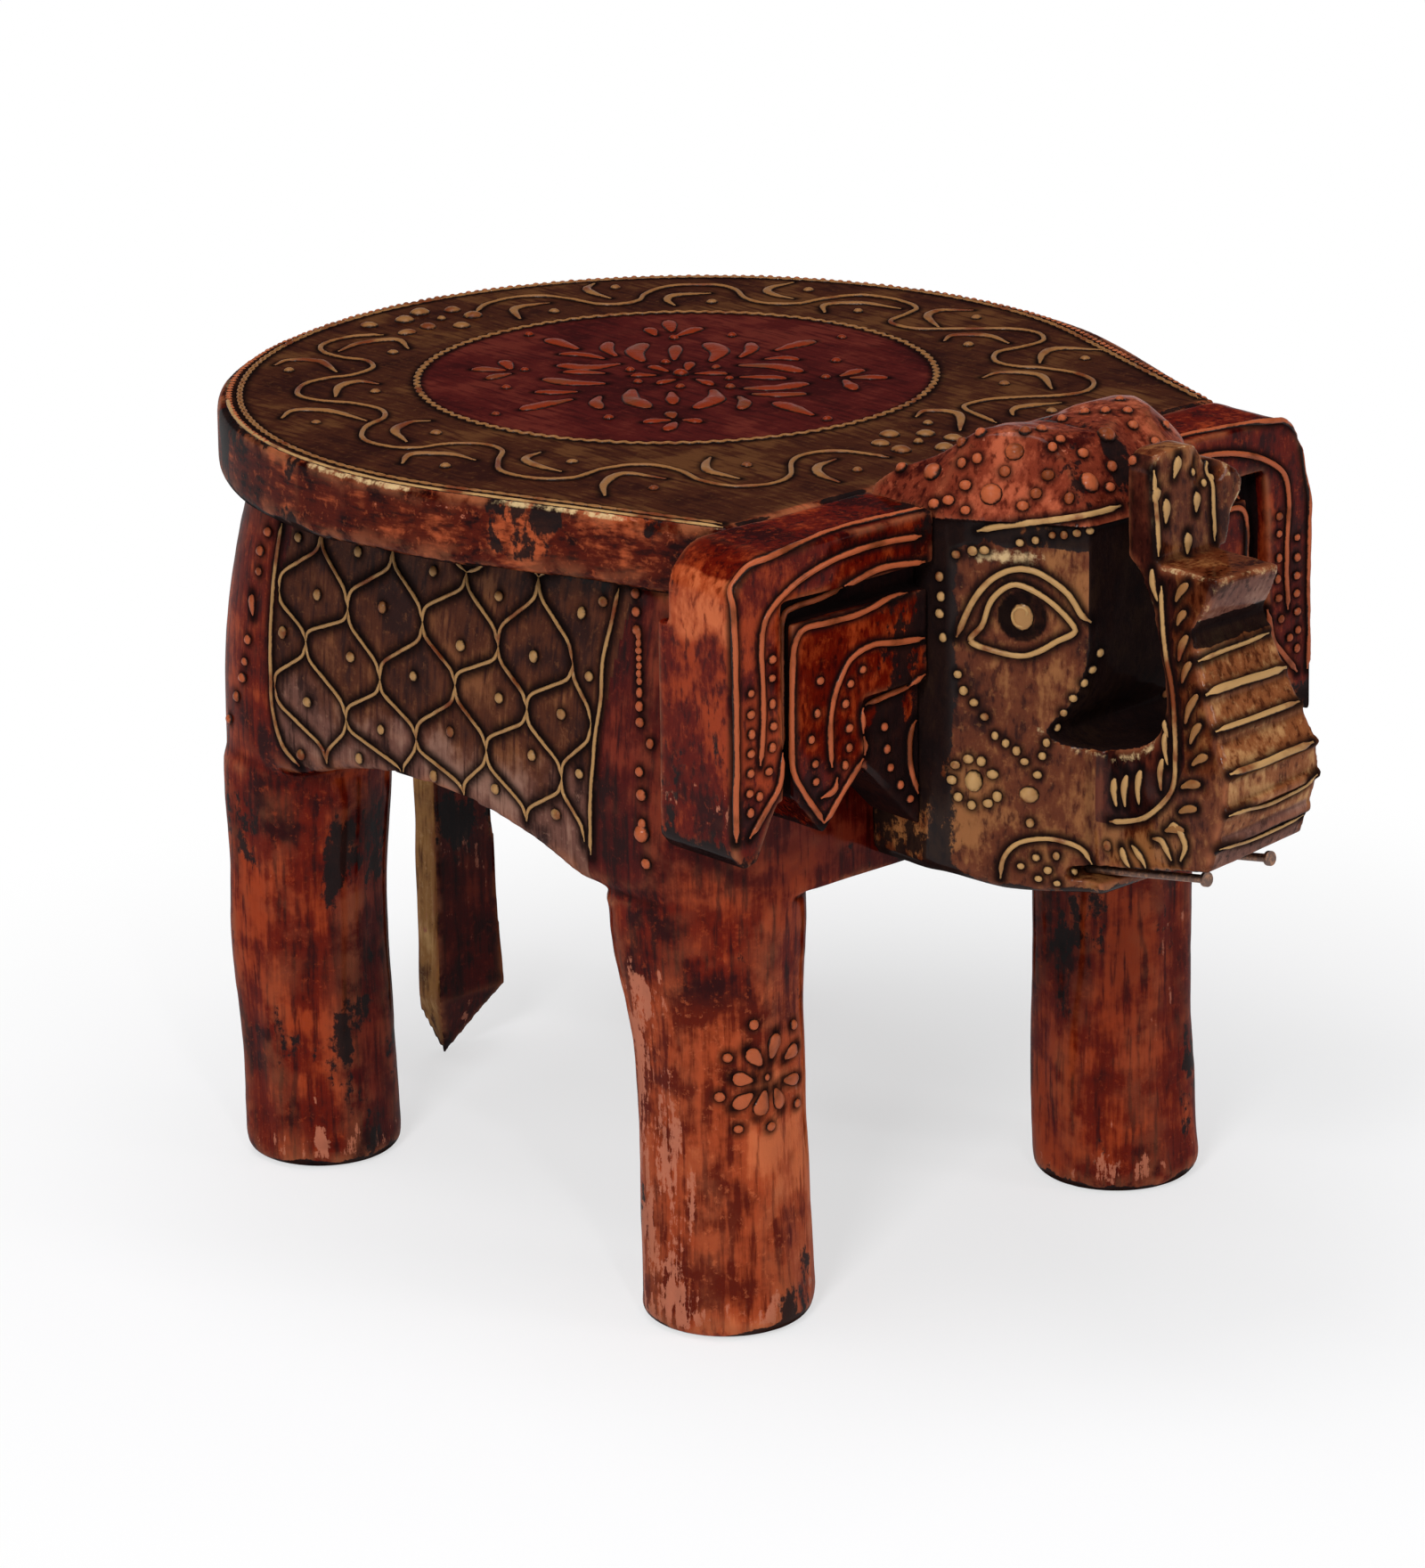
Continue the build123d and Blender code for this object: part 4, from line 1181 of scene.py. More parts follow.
# Each leaf in the bends of the vine: four points of its crescent, then its dot.
VINE_LEAVES = [
    ((12, 69), (17, 77), (24, 77), (27, 76), (22, 68.5)),
    ((40, 69), (40, 75), (42, 80), (47, 83), (47.5, 76)),
    ((46, 53), (48, 58), (52, 60), (60, 56), (54, 49)),
    ((70, 38), (69, 44), (72, 49), (81, 50), (78, 41.5)),
    ((66, 23), (71, 28), (78, 23), (81, 13), (72, 18)), ((75, -6), (80, 3), (86, 5), (92, 0), (87, -6)),
    ((67, -16), (72, -14), (77, -20), (76, -28), (68, -23)),
    ((68, -46), (74, -41), (80, -40), (87, -48), (78, -50.5)),
    ((50, -46), (56, -46), (60, -54), (54, -64), (49.5, -53.5)),
    ((32, -74), (35, -71), (39, -71), (47, -74), (40, -78)),
    ((16, -60), (21, -58), (24, -65), (15, -75), (14, -66)),
    ((-37, 75.5), (-29, 77.5), (-21, 74), (-24, 66), (-29, 65.5)),
    ((-55, 76), (-50, 77), (-46, 71), (-49, 61), (-56, 69.5)),
    ((-63, 44), (-57, 50), (-51, 50.5), (-49, 46), (-54, 41)),
    ((-83, 38), (-77, 41), (-72, 35), (-71, 23), (-80, 29.5)),
    ((-76, 3), (-72, 12), (-65, 15), (-61, 13), (-67, 4)),
    ((-88, -10), (-82, -6), (-76, -12), (-75, -19), (-83, -18.5)),
    ((-61, -24), (-67, -26), (-69, -32), (-68, -39), (-61.5, -35)),
    ((-74, -60), (-68, -53), (-60, -50), (-56, -59), (-63, -63)),
    ((-38, -53), (-43, -57), (-46, -62), (-45, -70), (-37, -63.5)),
    ((-20, -73), (-27, -75), (-31, -80), (-32, -87), (-23, -83)),
]
RIM_FLOWER_HEARTS = [(-1, 82), (1.5, -76)]
RIM_FLOWERS = [
    (-17, 89), (-8, 87), (-1, 90), (6, 86.5), (-15, 77.5), (-8, 78.5), (6, 79), (-2, 73.5), (1.5, -67),
    (-5, -71), (7.5, -72), (-5.5, -78), (9, -79), (2.5, -83),
]
# The gold edge line along the near rim is rubbed gilt and painted highlight.
DOTTED_TO, RUB_AND_HIGHLIGHT_FROM = 2.9, 2.5     # turns at which the rim's dots end and its rubbed gold starts
MEDALLION_HEART = (4.5, 4.3)
# Medallion petals: tail, head, width, bend.
PETALS = [
    ((5, 27), (12, 37.5), 3.6, 0.1), ((6, 19), (17, 31), 5.4, 0.12), ((12, 15), (21, 24.5), 3.4, 0.0),
    ((17, 8), (27.5, 21), 5.4, -0.14), ((24, 6), (34.5, 14), 3.6, -0.1), ((1.5, 27), (-3, 37.5), 3.4, -0.1),
    ((1, 21), (-10, 30), 5.0, 0.22), ((-7, 17), (-13, 24.5), 3.4, 0.0), ((-13, 10), (-20, 23), 5.2, 0.12),
    ((-22, 9), (-29, 15.5), 3.4, 0.1), ((-21, 2.5), (-28, -5.5), 3.4, -0.1),
    ((-12, 2), (-20, -12.5), 5.4, -0.12), ((-7.5, -6), (-14, -14), 3.4, 0.0),
    ((0.5, -11), (-13, -20.5), 5.4, 0.14), ((0.5, -19.5), (-6.5, -28), 3.4, 0.1),
    ((27, 1), (32, -5), 3.2, 0.1), ((19, 1), (25, -13.5), 5.2, 0.12), ((12, -7), (18.5, -15.5), 3.4, 0.0),
    ((6, -15), (19, -22), 5.4, -0.14), ((4, -20), (12.5, -28.5), 3.6, -0.1), ((4, 8), (4, 14.5), 3.0, 0.0),
    ((8, 6), (13, 10.5), 2.8, 0.0), ((0, 7.5), (-4.5, 11), 2.8, 0.0), ((0.5, 1.5), (-5, 1.5), 2.8, 0.0),
    ((7, 2.5), (12, -3), 2.8, 0.0), ((4, -1.5), (3, -8), 2.8, 0.0), ((3, 38), (4, 50), 5.0, 0.0),
    ((31, 5), (46, 5), 4.6, 0.0), ((-26, 5), (-41, 6), 4.8, 0.0), ((1.2, -43), (2.6, -29), 4.8, 0.0),
    ((24, 35), (27, 41), 3.4, 0.0), ((29, 35), (35, 43), 4.0, 0.0), ((27, 31), (36, 32.5), 3.8, 0.0),
    ((-19.5, 35), (-16, 42), 3.8, 0.0), ((-21, 35), (-26, 41), 3.8, 0.0), ((-22, 32), (-29, 32), 3.4, 0.0),
    ((-23.5, -24), (-29, -21), 3.6, 0.0), ((-22, -23), (-19.5, -19), 3.2, 0.0),
    ((-24, -26), (-30, -30), 3.6, 0.0), ((-21.5, -25.5), (-20, -30), 3.2, 0.0),
    ((28.5, -22.5), (36, -22), 3.6, 0.0), ((27, -25.5), (22.5, -33.5), 3.6, 0.0),
    ((29, -25), (35, -31), 4.0, 0.0),
]
PETAL_DOTS = [
    (-1.5, 14.7), (8.8, 14.3), (-7, 5.8), (14, 3), (-3.3, -4.3), (9.3, -6.7), (4.5, -12.3), (3.5, 55.8),
    (52.8, 3), (-47.5, 7), (0.8, -48), (25, 29.7), (-18, 32), (25.5, -21), (36, 22), (-31, 23), (-32, -13),
    (37, -12),
]


def round_middle(turn, reach):
    """Points at turns and reaches about the middle of the seat."""
    return np.stack([reach * np.cos(turn), reach * np.sin(turn)], axis=1)


def wavy_ring(centre, radius, swing, pitch):
    """Closed ring that swings in and out by the given amount."""
    waves = round(2 * pi * radius / pitch)
    count = waves * 6
    turn = np.arange(count) * 2 * pi / count
    return round_middle(turn, radius + swing * np.sin(turn * waves)) + centre


def along_rim(inset, count):
    """Turns and reaches along the seat's edge, from one end of its straight front round to the other."""
    turn = np.linspace(-pi / 2 + corner_turn, 3 * pi / 2 - corner_turn, count)
    return turn, seat_edge(turn) - inset


def decorate_seat(form):
    relief = Relief(11)
    pen = Pen(relief, [form], seat_plane, DULL_GOLD, reach=6)
    for vine in (VINE_LEFT, VINE_RIGHT):
        pen.line(vine, 1.35, 0.6)
    for *leaf, dot in VINE_LEAVES:
        pen.crescent(leaf, 2.5, 0.65)
        pen.dots([dot], 1.35, 0.55)
    pen.dots(RIM_FLOWERS, 2.3, 0.4)
    pen.dots(RIM_FLOWER_HEARTS, 1.2)
    pen.line(wavy_ring(MEDALLION_MIDDLE, MEDALLION_RADIUS, 0.45, 3.2), 1.1, 0.6, closed=True)
    turn, reach = along_rim(3.6, 560)
    for phase in (0, pi):
        pen.line(round_middle(turn, reach + 0.45 * np.sin(turn * 100 + phase)), 0.7, 0.4, 0.8)
    pen.tint = RED
    for tail, head, width, bend in PETALS:
        pen.drop(tail, head, width, bend, 0.6, 0.3)
    pen.dots(PETAL_DOTS, 1.2, 0.6)
    pen.dots([MEDALLION_HEART], 1.8, 0.6)
    turn, reach = along_rim(1.2, 230)
    for x, y in round_middle(turn, reach)[turn < DOTTED_TO]:
        near, facing, _, _ = form.bvh.find_nearest(Vector((x, y, seat_top)))
        relief.dot(np.array(near) - np.array(facing) * 0.3, np.array(facing), 0.9, RIM_TINT, 0.6)
    stain_near(form, relief, 1.6)
    # Gold line along the near edge of the rim: rubbed gilt and a painted highlight of the edge.
    pen.tint = GOLD
    turn, reach = along_rim(0.9, 400)
    pen.line(round_middle(turn, reach)[turn > RUB_AND_HIGHLIGHT_FROM], 1.0, 0.35, 0.8)
    return relief


# --- Ornament on the flanks, shoulders and legs -------------------------------------------------
# Millimetres forward of the middle of the seat, and above the floor.  Corners of the cells, row by row.
LATTICE_ROWS = [
    [(-29, 158), (-4, 159), (21, 159), (45, 163)],
    [(-45, 141), (-20.5, 142), (5.5, 144.5), (31, 144.5), (55.5, 146)],
    [(-36, 131), (-10, 128), (16, 132.5), (40, 132.5), (61, 134)],
    [(-48, 118), (-22.5, 116), (2, 117), (26, 120), (51, 119.5)],
    [(-30, 104), (-3, 107), (18, 108), (39, 107), (58, 107)],
]
CELL_WIDTH = 21          # corners nearer than this along the body are joined
# Where the cells of the top row run up under the seat: corner, end.
LATTICE_TOPS = [
    ((-29, 158), (-38, 165)), ((-4, 159), (-12, 165)), ((-4, 159), (4, 165)), ((21, 159), (14, 165)),
    ((21, 159), (30, 165)), ((-29, 158), (-20, 165)), ((45, 163), (40, 166)), ((45, 163), (51, 166)),
]
LATTICE_DOTS = [
    (-37, 155), (-16, 156), (10, 157), (32, 156), (59, 158), (66, 162), (-31, 143), (-8, 145), (18.5, 142),
    (43, 145), (61, 144.5), (-44, 131.5), (-20, 131), (2, 131.5), (31, 133), (51.5, 134), (-36, 117),
    (-10, 116.5), (14, 121.5), (41.5, 122.5), (57, 122), (-39, 104), (-18, 108), (8, 110), (29, 112),
    (49, 111),
]
FLANK_BORDERS = [
    [(-43, 157), (-45.5, 148), (-47, 141), (-48.5, 131), (-49, 122), (-49, 113), (-46, 105), (-40, 101)],
    [(60, 104.5), (60.5, 118), (61.5, 125), (62.5, 132), (64.5, 140), (65.5, 149), (68.5, 158), (71, 166)],
]
SHOULDER_DOTS = [(76.5, 166), (76.5, 162), (76.5, 158), (77, 144.5), (77, 141.5), (77, 138), (80, 134)]
SHOULDER_BEADS = [(77, 157), (77, 152), (77, 147)]
RUMP_DROP = ((-55, 133), (-55, 138))
# Dots low on the shoulder and behind the lattice: radius, places.
LOWER_DOTS = [
    (2.2, [(77, 113.5)]),
    (1.3, [(78, 107), (76.5, 127), (77, 122)]),
    (1.2, [(-48, 154), (-51, 149), (-52, 144), (-57, 127), (-58.5, 121.5), (-59.5, 117.5), (-62, 112.5),
     (-65, 106.5)]),
]
# Flowers on the front legs: tail, head and width of each petal, and dots, in the photograph's pixels.
NEAR_FLOWER = [
    ((866, 1188), (871, 1160), 4.6), ((855, 1195), (840, 1179), 3.8), ((881, 1188), (894, 1174), 3.6),
    ((845, 1213), (823, 1210), 3.6), ((845, 1228), (824, 1243), 3.6), ((859, 1224), (852, 1252), 4.2),
    ((870, 1222), (877, 1243), 4.0), ((880, 1213), (896, 1210), 3.2),
]
NEAR_FLOWER_DOTS = [
    (846, 1150), (890, 1150), (817, 1187), (808, 1231), (905, 1188), (894, 1238), (829, 1267), (865, 1264),
]
FAR_FLOWER = [
    ((1350, 1034), (1352, 1015), 3.8), ((1340, 1043), (1327, 1042), 3.0), ((1334, 1065), (1320, 1073), 3.0),
    ((1338, 1076), (1323, 1097), 3.6), ((1343, 1087), (1338, 1106), 3.4), ((1353, 1075), (1355, 1091), 3.2),
    ((1358, 1052), (1365, 1050), 3.0), ((1358, 1034), (1364, 1025), 3.0), ((1359, 1066), (1364, 1077), 3.0),
]
FAR_FLOWER_DOTS = [(1328.5, 1013.7), (1308.8, 1056.5), (1304.8, 1096.3), (1322, 1123), (1345, 1119)]
FLOWER_HEARTS = [(1349, 1063), (861, 1209)]
LEG_TOP_DOTS = [(723, 938), (722, 925)]


def wavy_edge(upper, lower):
    """One side of a pointed cell: it leaves each corner steeply."""
    a, b = np.array(upper, float), np.array(lower, float)
    shares = [(0.0, 0.0), (0.10, 0.26), (0.5, 0.5), (0.90, 0.74), (1.0, 1.0)]
    return [(a[0] + (b[0] - a[0]) * s, a[1] + (b[1] - a[1]) * t) for s, t in shares]


def decorate_body(form):
    relief = Relief(21)
    pen = Pen(relief, [form], flank_plane, LATTICE_TINT, (form, lambda p: p), reach=22)
    for upper, lower in zip(LATTICE_ROWS, LATTICE_ROWS[1:]):
        for a in upper:
            for b in lower:
                if abs(a[0] - b[0]) < CELL_WIDTH:
                    pen.line(wavy_edge(a, b), 0.95, 0.6)
    for top, side in LATTICE_TOPS:
        pen.line([top, ((top[0] + side[0]) / 2, top[1] + 2), side], 1.0, 0.55)
    pen.dots(LATTICE_DOTS, 1.35, 0.7)
    for border in FLANK_BORDERS:
        pen.line(border, 1.1, 0.65)
    pen.tint = COPPER
    pen.dots(SHOULDER_DOTS, 1.2)
    pen.beads(SHOULDER_BEADS, 1.7, 0.9)
    for radius, places in LOWER_DOTS:
        pen.dots(places, radius)
    pen.drop(*RUMP_DROP, 2.4)
    leg = Pen(relief, [form], pixel_plane, COPPER, reach=ANYWHERE)
    leg.unit = PIXELS_PER_MM
    for flower, spots in ((NEAR_FLOWER, NEAR_FLOWER_DOTS), (FAR_FLOWER, FAR_FLOWER_DOTS)):
        for tail, head, width in flower:
            leg.drop(tail, head, width, 0.0, 0.75, 0.3)
        leg.dots(spots, 1.15, 0.8)
    leg.dots(LEG_TOP_DOTS, 1.3)
    leg.dots(FLOWER_HEARTS, 0.8)
    stain_near(form, relief, 2.2)
    return relief


# --- Ornament on the ears -----------------------------------------------------------------------
# Millimetres to the left, and above the floor, on the elephant's right ear.
OUTER_PLEATS = 38.5      # width of the ear over which its lines keep their distance from its outer edge
EAR_LINES = [
    [(-35.5, 183.3), (-57, 183.8), (-68, 183), (-78, 181.8), (-84, 181), (-88, 178.5), (-89.2, 176.5),
     (-88.5, 172), (-88.3, 160), (-88.3, 140), (-88.6, 132), (-88.6, 123)],
    [(-36, 177.5), (-45, 178.2), (-55, 178.2), (-64, 177), (-72, 174.5), (-78, 171), (-80.5, 167.5),
     (-81.3, 162), (-80.9, 155), (-81, 147), (-81.8, 138)],
    [(-35, 171.8), (-47, 173), (-55, 171.8), (-65, 170.2), (-72, 169.8), (-75, 168.5), (-75.3, 163),
     (-75.3, 152), (-75.5, 142), (-76, 136), (-77, 132), (-80, 128.5), (-85, 123)],
    [(-40, 166), (-46, 165.8), (-54, 164.5), (-63, 164.5), (-69.5, 164.5), (-72, 161.5), (-72.5, 155),
     (-72.8, 145), (-72.6, 135), (-70, 129.5), (-66, 124), (-64.3, 121.5)],
    [(-34.5, 155.2), (-43, 156), (-50, 157), (-56, 155.5), (-59.5, 151.5), (-61.5, 147), (-62.3, 142),
     (-62.3, 137), (-61.8, 133)],
    [(-35, 147.3), (-41, 145.8), (-48, 145), (-52.8, 144), (-53, 139.5), (-52.5, 134), (-55, 131),
     (-59, 127), (-63.5, 122), (-64.3, 121.5)],
    [(-36, 139), (-39, 136.5), (-39.8, 132), (-39.3, 127), (-37, 121)],
    [(-60.3, 130.5), (-61.5, 128), (-65, 127)],
]
EAR_DROP = ((-35, 124), (-36, 128))
EAR_DOTS = [
    (-84.2, 154), (-84.3, 149.5), (-84.3, 145.3), (-84.5, 141.2), (-84.7, 137), (-85, 132.7),
    (-82.3, 131.5), (-84.8, 128.5), (-78.3, 160), (-78.4, 156), (-78.4, 150.5), (-78.2, 145.7),
    (-78.6, 141.2), (-79.6, 136.3), (-65, 152.5), (-66, 145.7), (-67.7, 140.4), (-66.7, 134.9),
    (-66.5, 131), (-53, 152.3), (-56.5, 150), (-58, 146), (-57, 140.5), (-57, 136.2), (-58.3, 132.7),
    (-47, 138.5), (-46.3, 133.5), (-45.3, 129.2), (-42.6, 124.8), (-39.7, 121), (-36.9, 117.8), (-33, 115),
    (-37, 132.8), (-33.8, 119.7),
]


def to_left_ear(place):
    """Moves a mirrored point so that it keeps its distance from the outer edge of the narrower ear."""
    right = -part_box("right_ear")[0].x / MM
    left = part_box("left_ear")[1].x / MM
    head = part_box("left_ear")[0].x / MM
    inner = right - OUTER_PLEATS
    share = np.clip((place[0] - head) / (inner - head), 0, 1)
    return place - [(right - left) * share, 0, 0]


def decorate_ears(right, left):
    relief = Relief(31)
    pen = Pen(relief, [right], ear_plane, COPPER, (left, to_left_ear), reach=16)
    for line in EAR_LINES:
        pen.line(line, 1.45, 0.8)
    pen.dots(EAR_DOTS, 1.0, 0.8)
    pen.drop(*EAR_DROP, 2.2)
    stain_near(right, relief, 1.8)
    stain_near(left, relief, 1.8)
    return relief


# --- Ornament on the head -----------------------------------------------------------------------
# In the plane of the face.
EYEBROW = [(4.5, 155), (8, 163), (12, 168), (17, 170.5), (22, 170), (28, 166), (31, 161.5), (33, 160)]
EYE_RIM = [
    (7.5, 154.5), (10, 158), (12, 163.5), (16, 167), (20, 166.5), (25, 163.5), (29, 159.5), (29.5, 157.5),
    (26, 155.5), (22, 153), (18, 151.8), (12, 152.7),
]
PUPIL_SWIRL = [
    (18.5, 160.3), (19.6, 161), (19.2, 162.2), (17.6, 162.3), (16.5, 160.8), (17.2, 158.6), (19.4, 158.2),
]
CHIN_LINE = [(13.8, 102.5), (14.5, 107), (17.5, 110.5), (23, 112), (28, 111.5), (31.5, 110), (33.5, 107)]
CHIN_DOTS = [(18.2, 105.5), (21.5, 107.7), (25.8, 108.3), (24, 105), (29.5, 105), (22, 103), (26, 102.3)]
# Radius, places.
FACE_DOTS = [
    (0.9, [(18, 176.3), (21.3, 177), (24.8, 178.3), (27.3, 178.5), (30, 179), (32.7, 179.7)]),
    (1.1, [(0, 183.5), (4.5, 173), (8, 174), (10.5, 174.3), (1, 168), (1.3, 163.7), (1, 160),
     (1.7, 154.8)]),
    (1.0, [(4.8, 147), (6, 143.5), (8.2, 141), (10.5, 138), (12.7, 134), (15, 132.5), (17.3, 131),
     (19, 128.7), (21.8, 126), (25.8, 136.7), (27.3, 140), (29.3, 143.3), (31.5, 146.8), (33.2, 149.8),
     (34.8, 153.5), (23.7, 133.2), (22.8, 130.2)]),
    (2.2, [(20, 121.5)]),
    (1.0, [(20.2, 115.3)]),
    (2.3, [(8.2, 123.8)]),
    (1.15, [(4.2, 127), (7, 128.5), (9.8, 128.2), (12.2, 125.5), (13.2, 120.7), (11.2, 119), (7.7, 118.4),
     (4.8, 120), (3.5, 123.7)]),
]
# On the side of the trunk: drops from tail to head, and arcs.
TRUNK_STROKES = [
    ((162, 168.5), (158.5, 175)), ((162, 161.5), (158.5, 167)), ((163.5, 156), (159.5, 160)),
    ((164, 150), (161, 153)), ((164, 140), (162, 147)), ((164, 134), (162.5, 141)),
    ((162, 128), (160.5, 135)), ((151, 121.5), (150.5, 127.5)), ((153.5, 122), (154, 129)),
    ((157.5, 123.5), (158, 131)), ((167.5, 169.5), (171, 174)), ((168, 164.5), (170.5, 168)),
    ((168.5, 157), (171, 163)), ((169.5, 152.5), (172, 157.5)), ((170.5, 144), (174, 151)),
    ((172, 140), (175, 145)), ((172.5, 135.5), (177, 138.5)), ((169.5, 130), (175, 132)),
    ((169, 124.5), (174, 126.5)), ((165, 119.5), (170.5, 121)), ((156, 108), (152.5, 112.8)),
]
TRUNK_ARCS = [
    [(165.5, 119.5), (168, 121.5), (171, 118), (169.5, 114)],
    [(155.5, 114), (158.5, 112), (160, 109)],
    [(161.5, 117), (164.5, 117), (167, 113.5)],
]
LIP_LINE = [(161, 196), (161.3, 191), (162, 185), (162.5, 178)]
TRUNK_DOT = (148.5, 112.3)
# Enlarged pieces of the photograph that points were read from: corner in pixels, enlargement.
CAP_PIECE = ((960, 430), 3.5636)
TRUNK_PIECE = ((1320, 690), 5)
CAP_KNOBS = [(638, 275), (545, 445), (313, 357), (935, 400), (1005, 208)]
CAP_DOTS = [
    (187, 340), (430, 240), (428, 320), (490, 302), (600, 355), (443, 410), (773, 370), (725, 443),
    (672, 493), (858, 462), (790, 257), (745, 187), (820, 228), (910, 283), (1025, 335), (1018, 418),
    (1115, 310), (1110, 172), (1003, 115), (920, 120), (830, 148), (680, 195), (505, 203), (1090, 113),
    (1240, 170), (1200, 235), (750, 108), (1060, 68), (318, 485), (443, 510), (375, 470),
]
# In the photograph's pixels: the cap's hem, and dots and drops on the trunk's knob and lobe.
LOBE_DOTS = [(1351, 542), (1359, 536), (1338, 530)]
CAP_HEM = [(1097, 596), (1124, 590), (1165, 586), (1205, 581), (1235, 575), (1258, 568)]
LOBE_STROKES = [
    ((1318, 537), (1323, 512)), ((1309, 588), (1309, 560)), ((1343, 575), (1343, 552)),
    ((1333, 622), (1333, 598)), ((1296, 566), (1299, 547)),
]
# Cord of paste along each rib, top to bottom, in the enlarged piece, and its width.
RIB_CORDS = [
    ([(125, 262), (250, 205), (400, 150), (470, 120), (540, 95)], 1.2),
    ([(170, 452), (250, 415), (400, 365), (500, 335), (600, 300), (640, 292)], 2.0),
    ([(225, 658), (330, 620), (400, 595), (550, 540), (640, 505), (712, 480)], 1.5),
    ([(305, 898), (400, 865), (500, 830), (600, 785), (700, 745), (772, 714)], 1.7),
    ([(298, 1130), (400, 1090), (500, 1068), (600, 1025), (720, 960), (795, 895)], 1.1),
    ([(245, 1318), (330, 1290), (450, 1250), (600, 1180), (735, 1114)], 1.0),
]


def beside_line(point):
    """Draws a point behind the trunk's gold line closer to it, onto the strip before the hollow."""
    line = trunk_line(point[1])
    return line - 0.6 - 0.42 * (line - point[0]), point[1]


def enlarged(points, corner, times):
    """Points read from an enlarged piece of the photograph, as its own pixels."""
    return [(corner[0] + x / times, corner[1] + y / times) for x, y in points]


def draw_pupils(pen, form):
    """Flat domed pupils with a dark ring around each."""
    hit = pen.hit(PUPIL_SWIRL[0])
    for (place, normal), in pen.both([hit]):
        pen.relief.dot(place, normal, 2.9, PUPIL_TINT, 0.2)
        off = np.linalg.norm(form.verts - place, axis=1)
        inked = smoothstep(2.4, 2.9, off) * smoothstep(5.7, 5.2, off)
        for name in ("hollow", "wax"):
            form.paint[name] = np.maximum(form.paint.get(name, 0), inked)


def draw_trunk_side(pen):
    pen.plane = trunk_plane
    pen.line(TRUNK_LINE, 1.3, 0.7)
    pen.line(LIP_LINE, 1.2)
    for tail, head in TRUNK_STROKES:
        behind = head[0] < 164.5 and head[1] > 132
        pen.tint = GOLD if behind or head[1] < 132 and head[0] < 160 else DULL_GOLD
        if behind:
            tail, head = beside_line(tail), beside_line(head)
        pen.drop(tail, head, 1.7 if behind else 2.1, 0.06, 0.7, 0.35)
    pen.tint = GOLD
    for arc in TRUNK_ARCS:
        pen.crescent(arc, 1.9)
    pen.dots([TRUNK_DOT], 1.1)


def decorate_head(form):
    relief = Relief(41)
    both_sides = (form, lambda p: p)
    pen = Pen(relief, [form], face_plane, GOLD, both_sides, reach=16)
    pen.line(EYEBROW, 1.5, 0.8)
    pen.line(EYE_RIM, 1.4, 0.8, closed=True)
    draw_pupils(pen, form)
    pen.line(PUPIL_SWIRL, 0.8, 1.0, 0.5)
    for radius, places in FACE_DOTS:
        pen.dots(places, radius)
    pen.line(CHIN_LINE, 1.2)
    pen.dots(CHIN_DOTS, 0.9)
    draw_trunk_side(pen)
    cap = Pen(relief, [form], pixel_plane, COPPER, reach=ANYWHERE)
    cap.unit = PIXELS_PER_MM
    cap.dots(enlarged(CAP_KNOBS, *CAP_PIECE), 2.25, 0.62)
    cap.dots(enlarged(CAP_DOTS, *CAP_PIECE), 1.25, 0.8)
    cap.tint = GOLD
    cap.mirror = both_sides
    cap.line(CAP_HEM, 1.5, 0.8)
    cap.mirror = None
    for tail, head in LOBE_STROKES:
        cap.drop(tail, head, 2.6, 0.0, 0.7)
    cap.dots(LOBE_DOTS, 0.9)
    for cord, width in RIB_CORDS:
        cap.line(enlarged(cord, *TRUNK_PIECE), width, 0.6)
    stain_near(form, relief, 1.9)
    return relief


# --- The whole stool ----------------------------------------------------------------------------
make_camera()
make_floor()
make_world()
for lamp in LAMPS:
    softbox(*lamp)

# Palettes: dark, middle and light.
OLIVE = ((0.024, 0.005, 0.003), (0.048, 0.012, 0.005), (0.100, 0.036, 0.012))
MAROON = ((0.034, 0.003, 0.003), (0.064, 0.006, 0.005), (0.11, 0.016, 0.010))
FLANK = ((0.022, 0.004, 0.002), (0.070, 0.016, 0.005), (0.18, 0.060, 0.020))
# Pale pinkish colour of dust and of painted sheen.
DUST_AND_SHEEN = ((0.030, 0.010, 0.007), (0.140, 0.055, 0.038), (0.26, 0.130, 0.090))
RIM = ((0.010, 0.001, 0.001), (0.068, 0.006, 0.002), (0.38, 0.074, 0.023))
DEEP = ((0.014, 0.001, 0.001), (0.056, 0.002, 0.001), (0.15, 0.016, 0.006))
RUSSET = ((0.022, 0.001, 0.001), (0.115, 0.006, 0.001), (0.30, 0.038, 0.008))
# Orange: the near front leg's lower part, partly painted light, and the ear's top corner, a painted
# highlight.
ORANGE = ((0.09, 0.006, 0.001), (0.32, 0.050, 0.013), (0.52, 0.120, 0.040))
EAR_RED = ((0.022, 0.001, 0.001), (0.092, 0.004, 0.001), (0.28, 0.034, 0.007))
CAP_RED = ((0.032, 0.003, 0.002), (0.16, 0.025, 0.011), (0.38, 0.085, 0.038))
OLD_GOLD = ((0.022, 0.003, 0.001), (0.100, 0.022, 0.007), (0.25, 0.095, 0.030))
RIBS = ((0.045, 0.008, 0.003), (0.22, 0.068, 0.022), (0.45, 0.23, 0.09))
# Lighter palette of the tail's sides, partly painted light.
TAIL_SIDE = ((0.12, 0.040, 0.010), (0.42, 0.19, 0.050), (0.65, 0.37, 0.13))
# Near-black palette of the painted shade on the trunk's sides.
SIDE_SHADE = ((0.006, 0.002, 0.002), (0.030, 0.006, 0.004), (0.090, 0.018, 0.009))

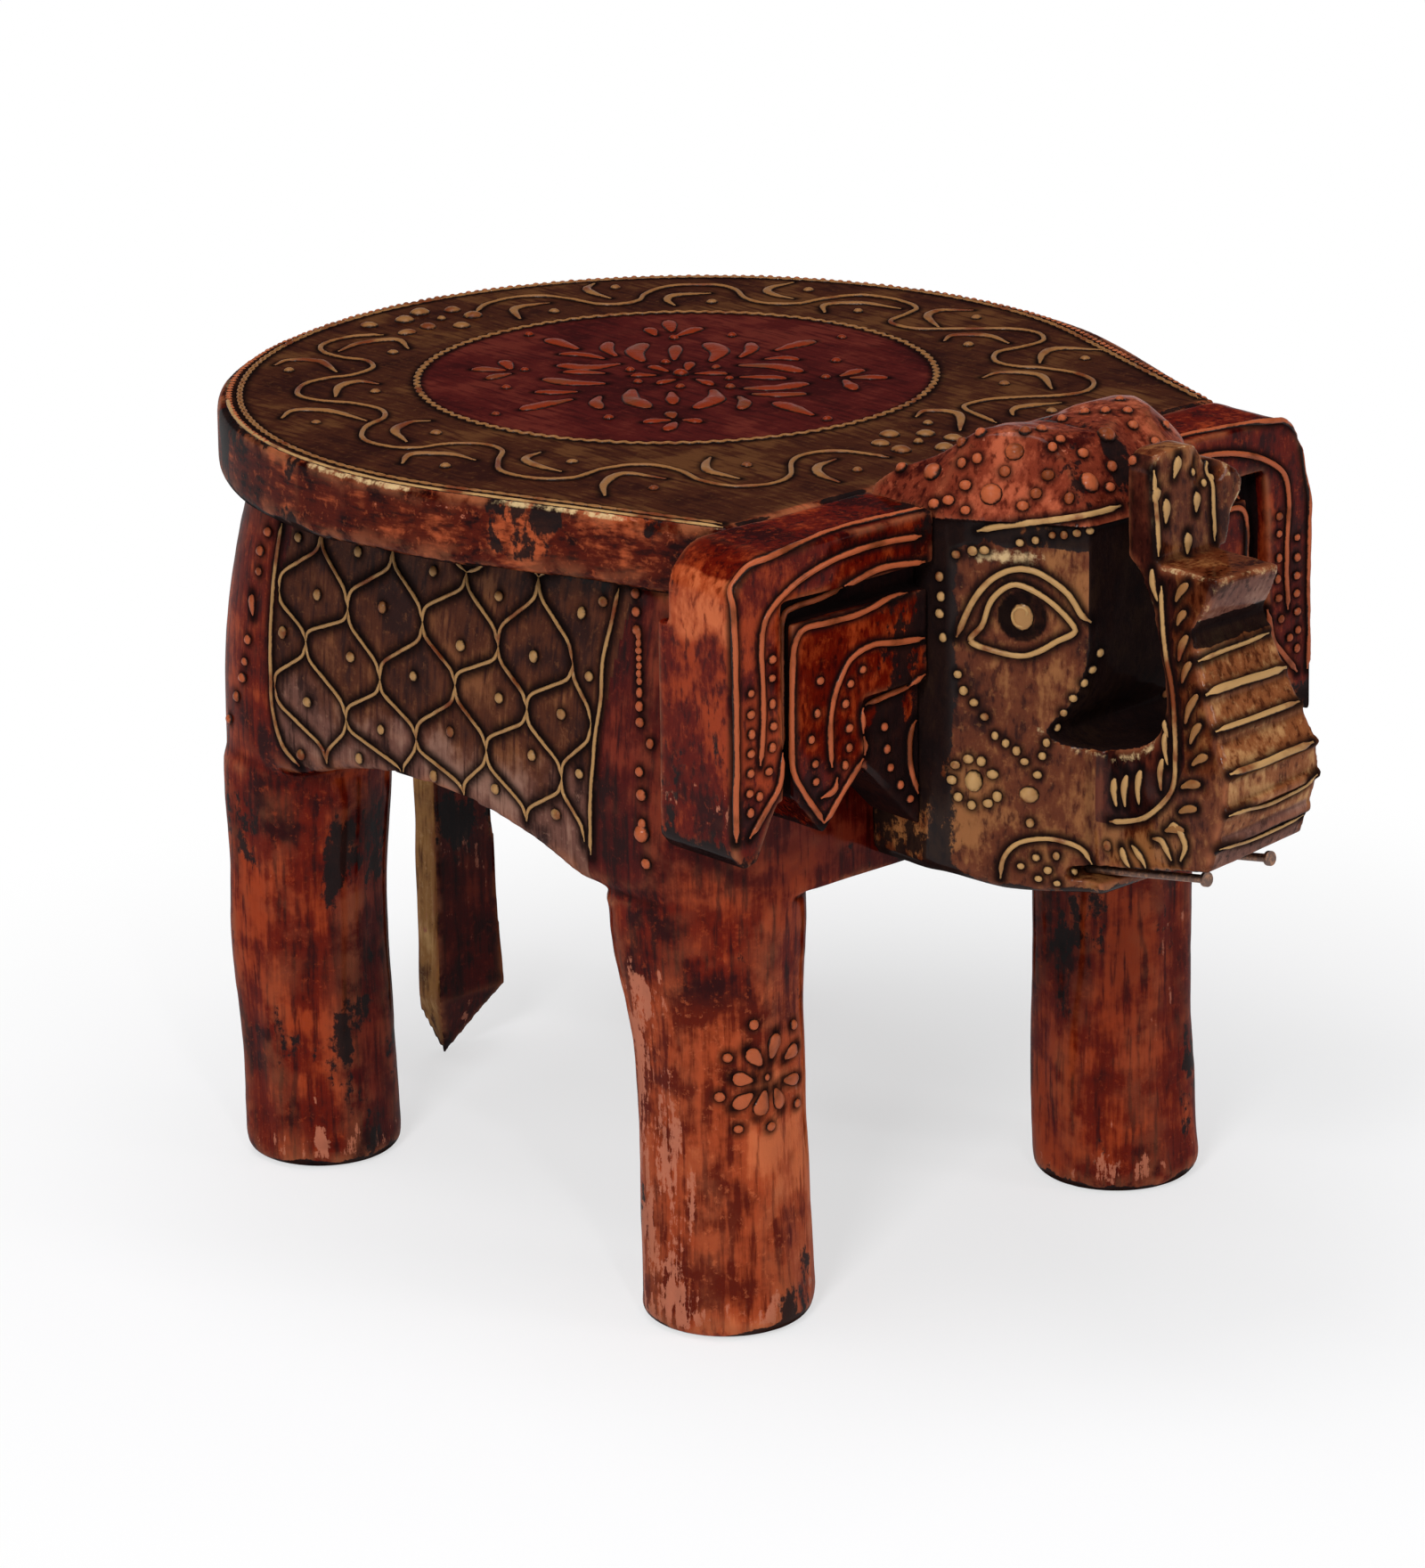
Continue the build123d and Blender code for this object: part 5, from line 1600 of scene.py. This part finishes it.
seat_zones = [(None, OLIVE), ("medallion", MAROON), ("rim", RIM)]
lacquer_seat = lacquer("seat_lacquer", seat_zones, ACROSS, 0.12)
body_zones = [(None, DEEP), ("middle", RUSSET), ("lattice", FLANK), ("dust_and_sheen", DUST_AND_SHEEN), ("leg", ORANGE)]
lacquer_body = lacquer("body_lacquer", body_zones, UPRIGHT, 0.16)
head_zones = [(None, OLD_GOLD), ("side_shade", SIDE_SHADE), ("cap", CAP_RED), ("ribs", RIBS), ("dust_and_sheen", DUST_AND_SHEEN)]
lacquer_head = lacquer("head_lacquer", head_zones, CARVED, 0.24)
lacquer_ear = lacquer("ear_lacquer", [(None, EAR_RED), ("corner", ORANGE)], CARVED, 0.2)
lacquer_tail = lacquer("tail_lacquer", [(None, DEEP), ("tip", TAIL_SIDE)], UPRIGHT, 0.16)
relief_paste = paste()

seat = make_seat_form()
body = make_body_form()
head = make_head_form()
right_ear = make_ear_form("right_ear", -1)
left_ear = make_ear_form("left_ear", 1)
tail = make_tail_form()
for form in (seat, body, head, right_ear, left_ear):
    form.settle()

reliefs = [
    (decorate_seat(seat), "seat_relief", "seat_lacquer"),
    (decorate_body(body), "body_relief", "body_lacquer"),
    (decorate_ears(right_ear, left_ear), "ear_relief", "ear_lacquer"),
    (decorate_head(head), "head_relief", "head_lacquer"),
]
for relief, name, slot in reliefs:
    relief.build(name, relief_paste, slot)

skins = [
    (seat, "carved_seat", lacquer_seat, "seat_lacquer", "seat_board"),
    (head, "carved_head", lacquer_head, "head_lacquer", "head_and_trunk"),
    (right_ear, "carved_right_ear", lacquer_ear, "ear_lacquer", "right_ear"),
    (left_ear, "carved_left_ear", lacquer_ear, "ear_lacquer", "left_ear"),
    (tail, "carved_tail", lacquer_tail, "leg_lacquer", "tail"),
]
for form, name, material, slot, node in skins:
    skin = write_object(name, form.verts, form.quads, material, form.paint)
    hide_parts(node)
place_body(body, lacquer_body)

wood, steel = bare_wood(), old_steel()
for name, node in nodes.items():
    if "dowel" in name or name == "tusk_nails":
        node.data.materials.clear()
        node.data.materials.append(steel if name == "tusk_nails" else wood)

bpy.context.scene.view_settings.view_transform = "Standard"
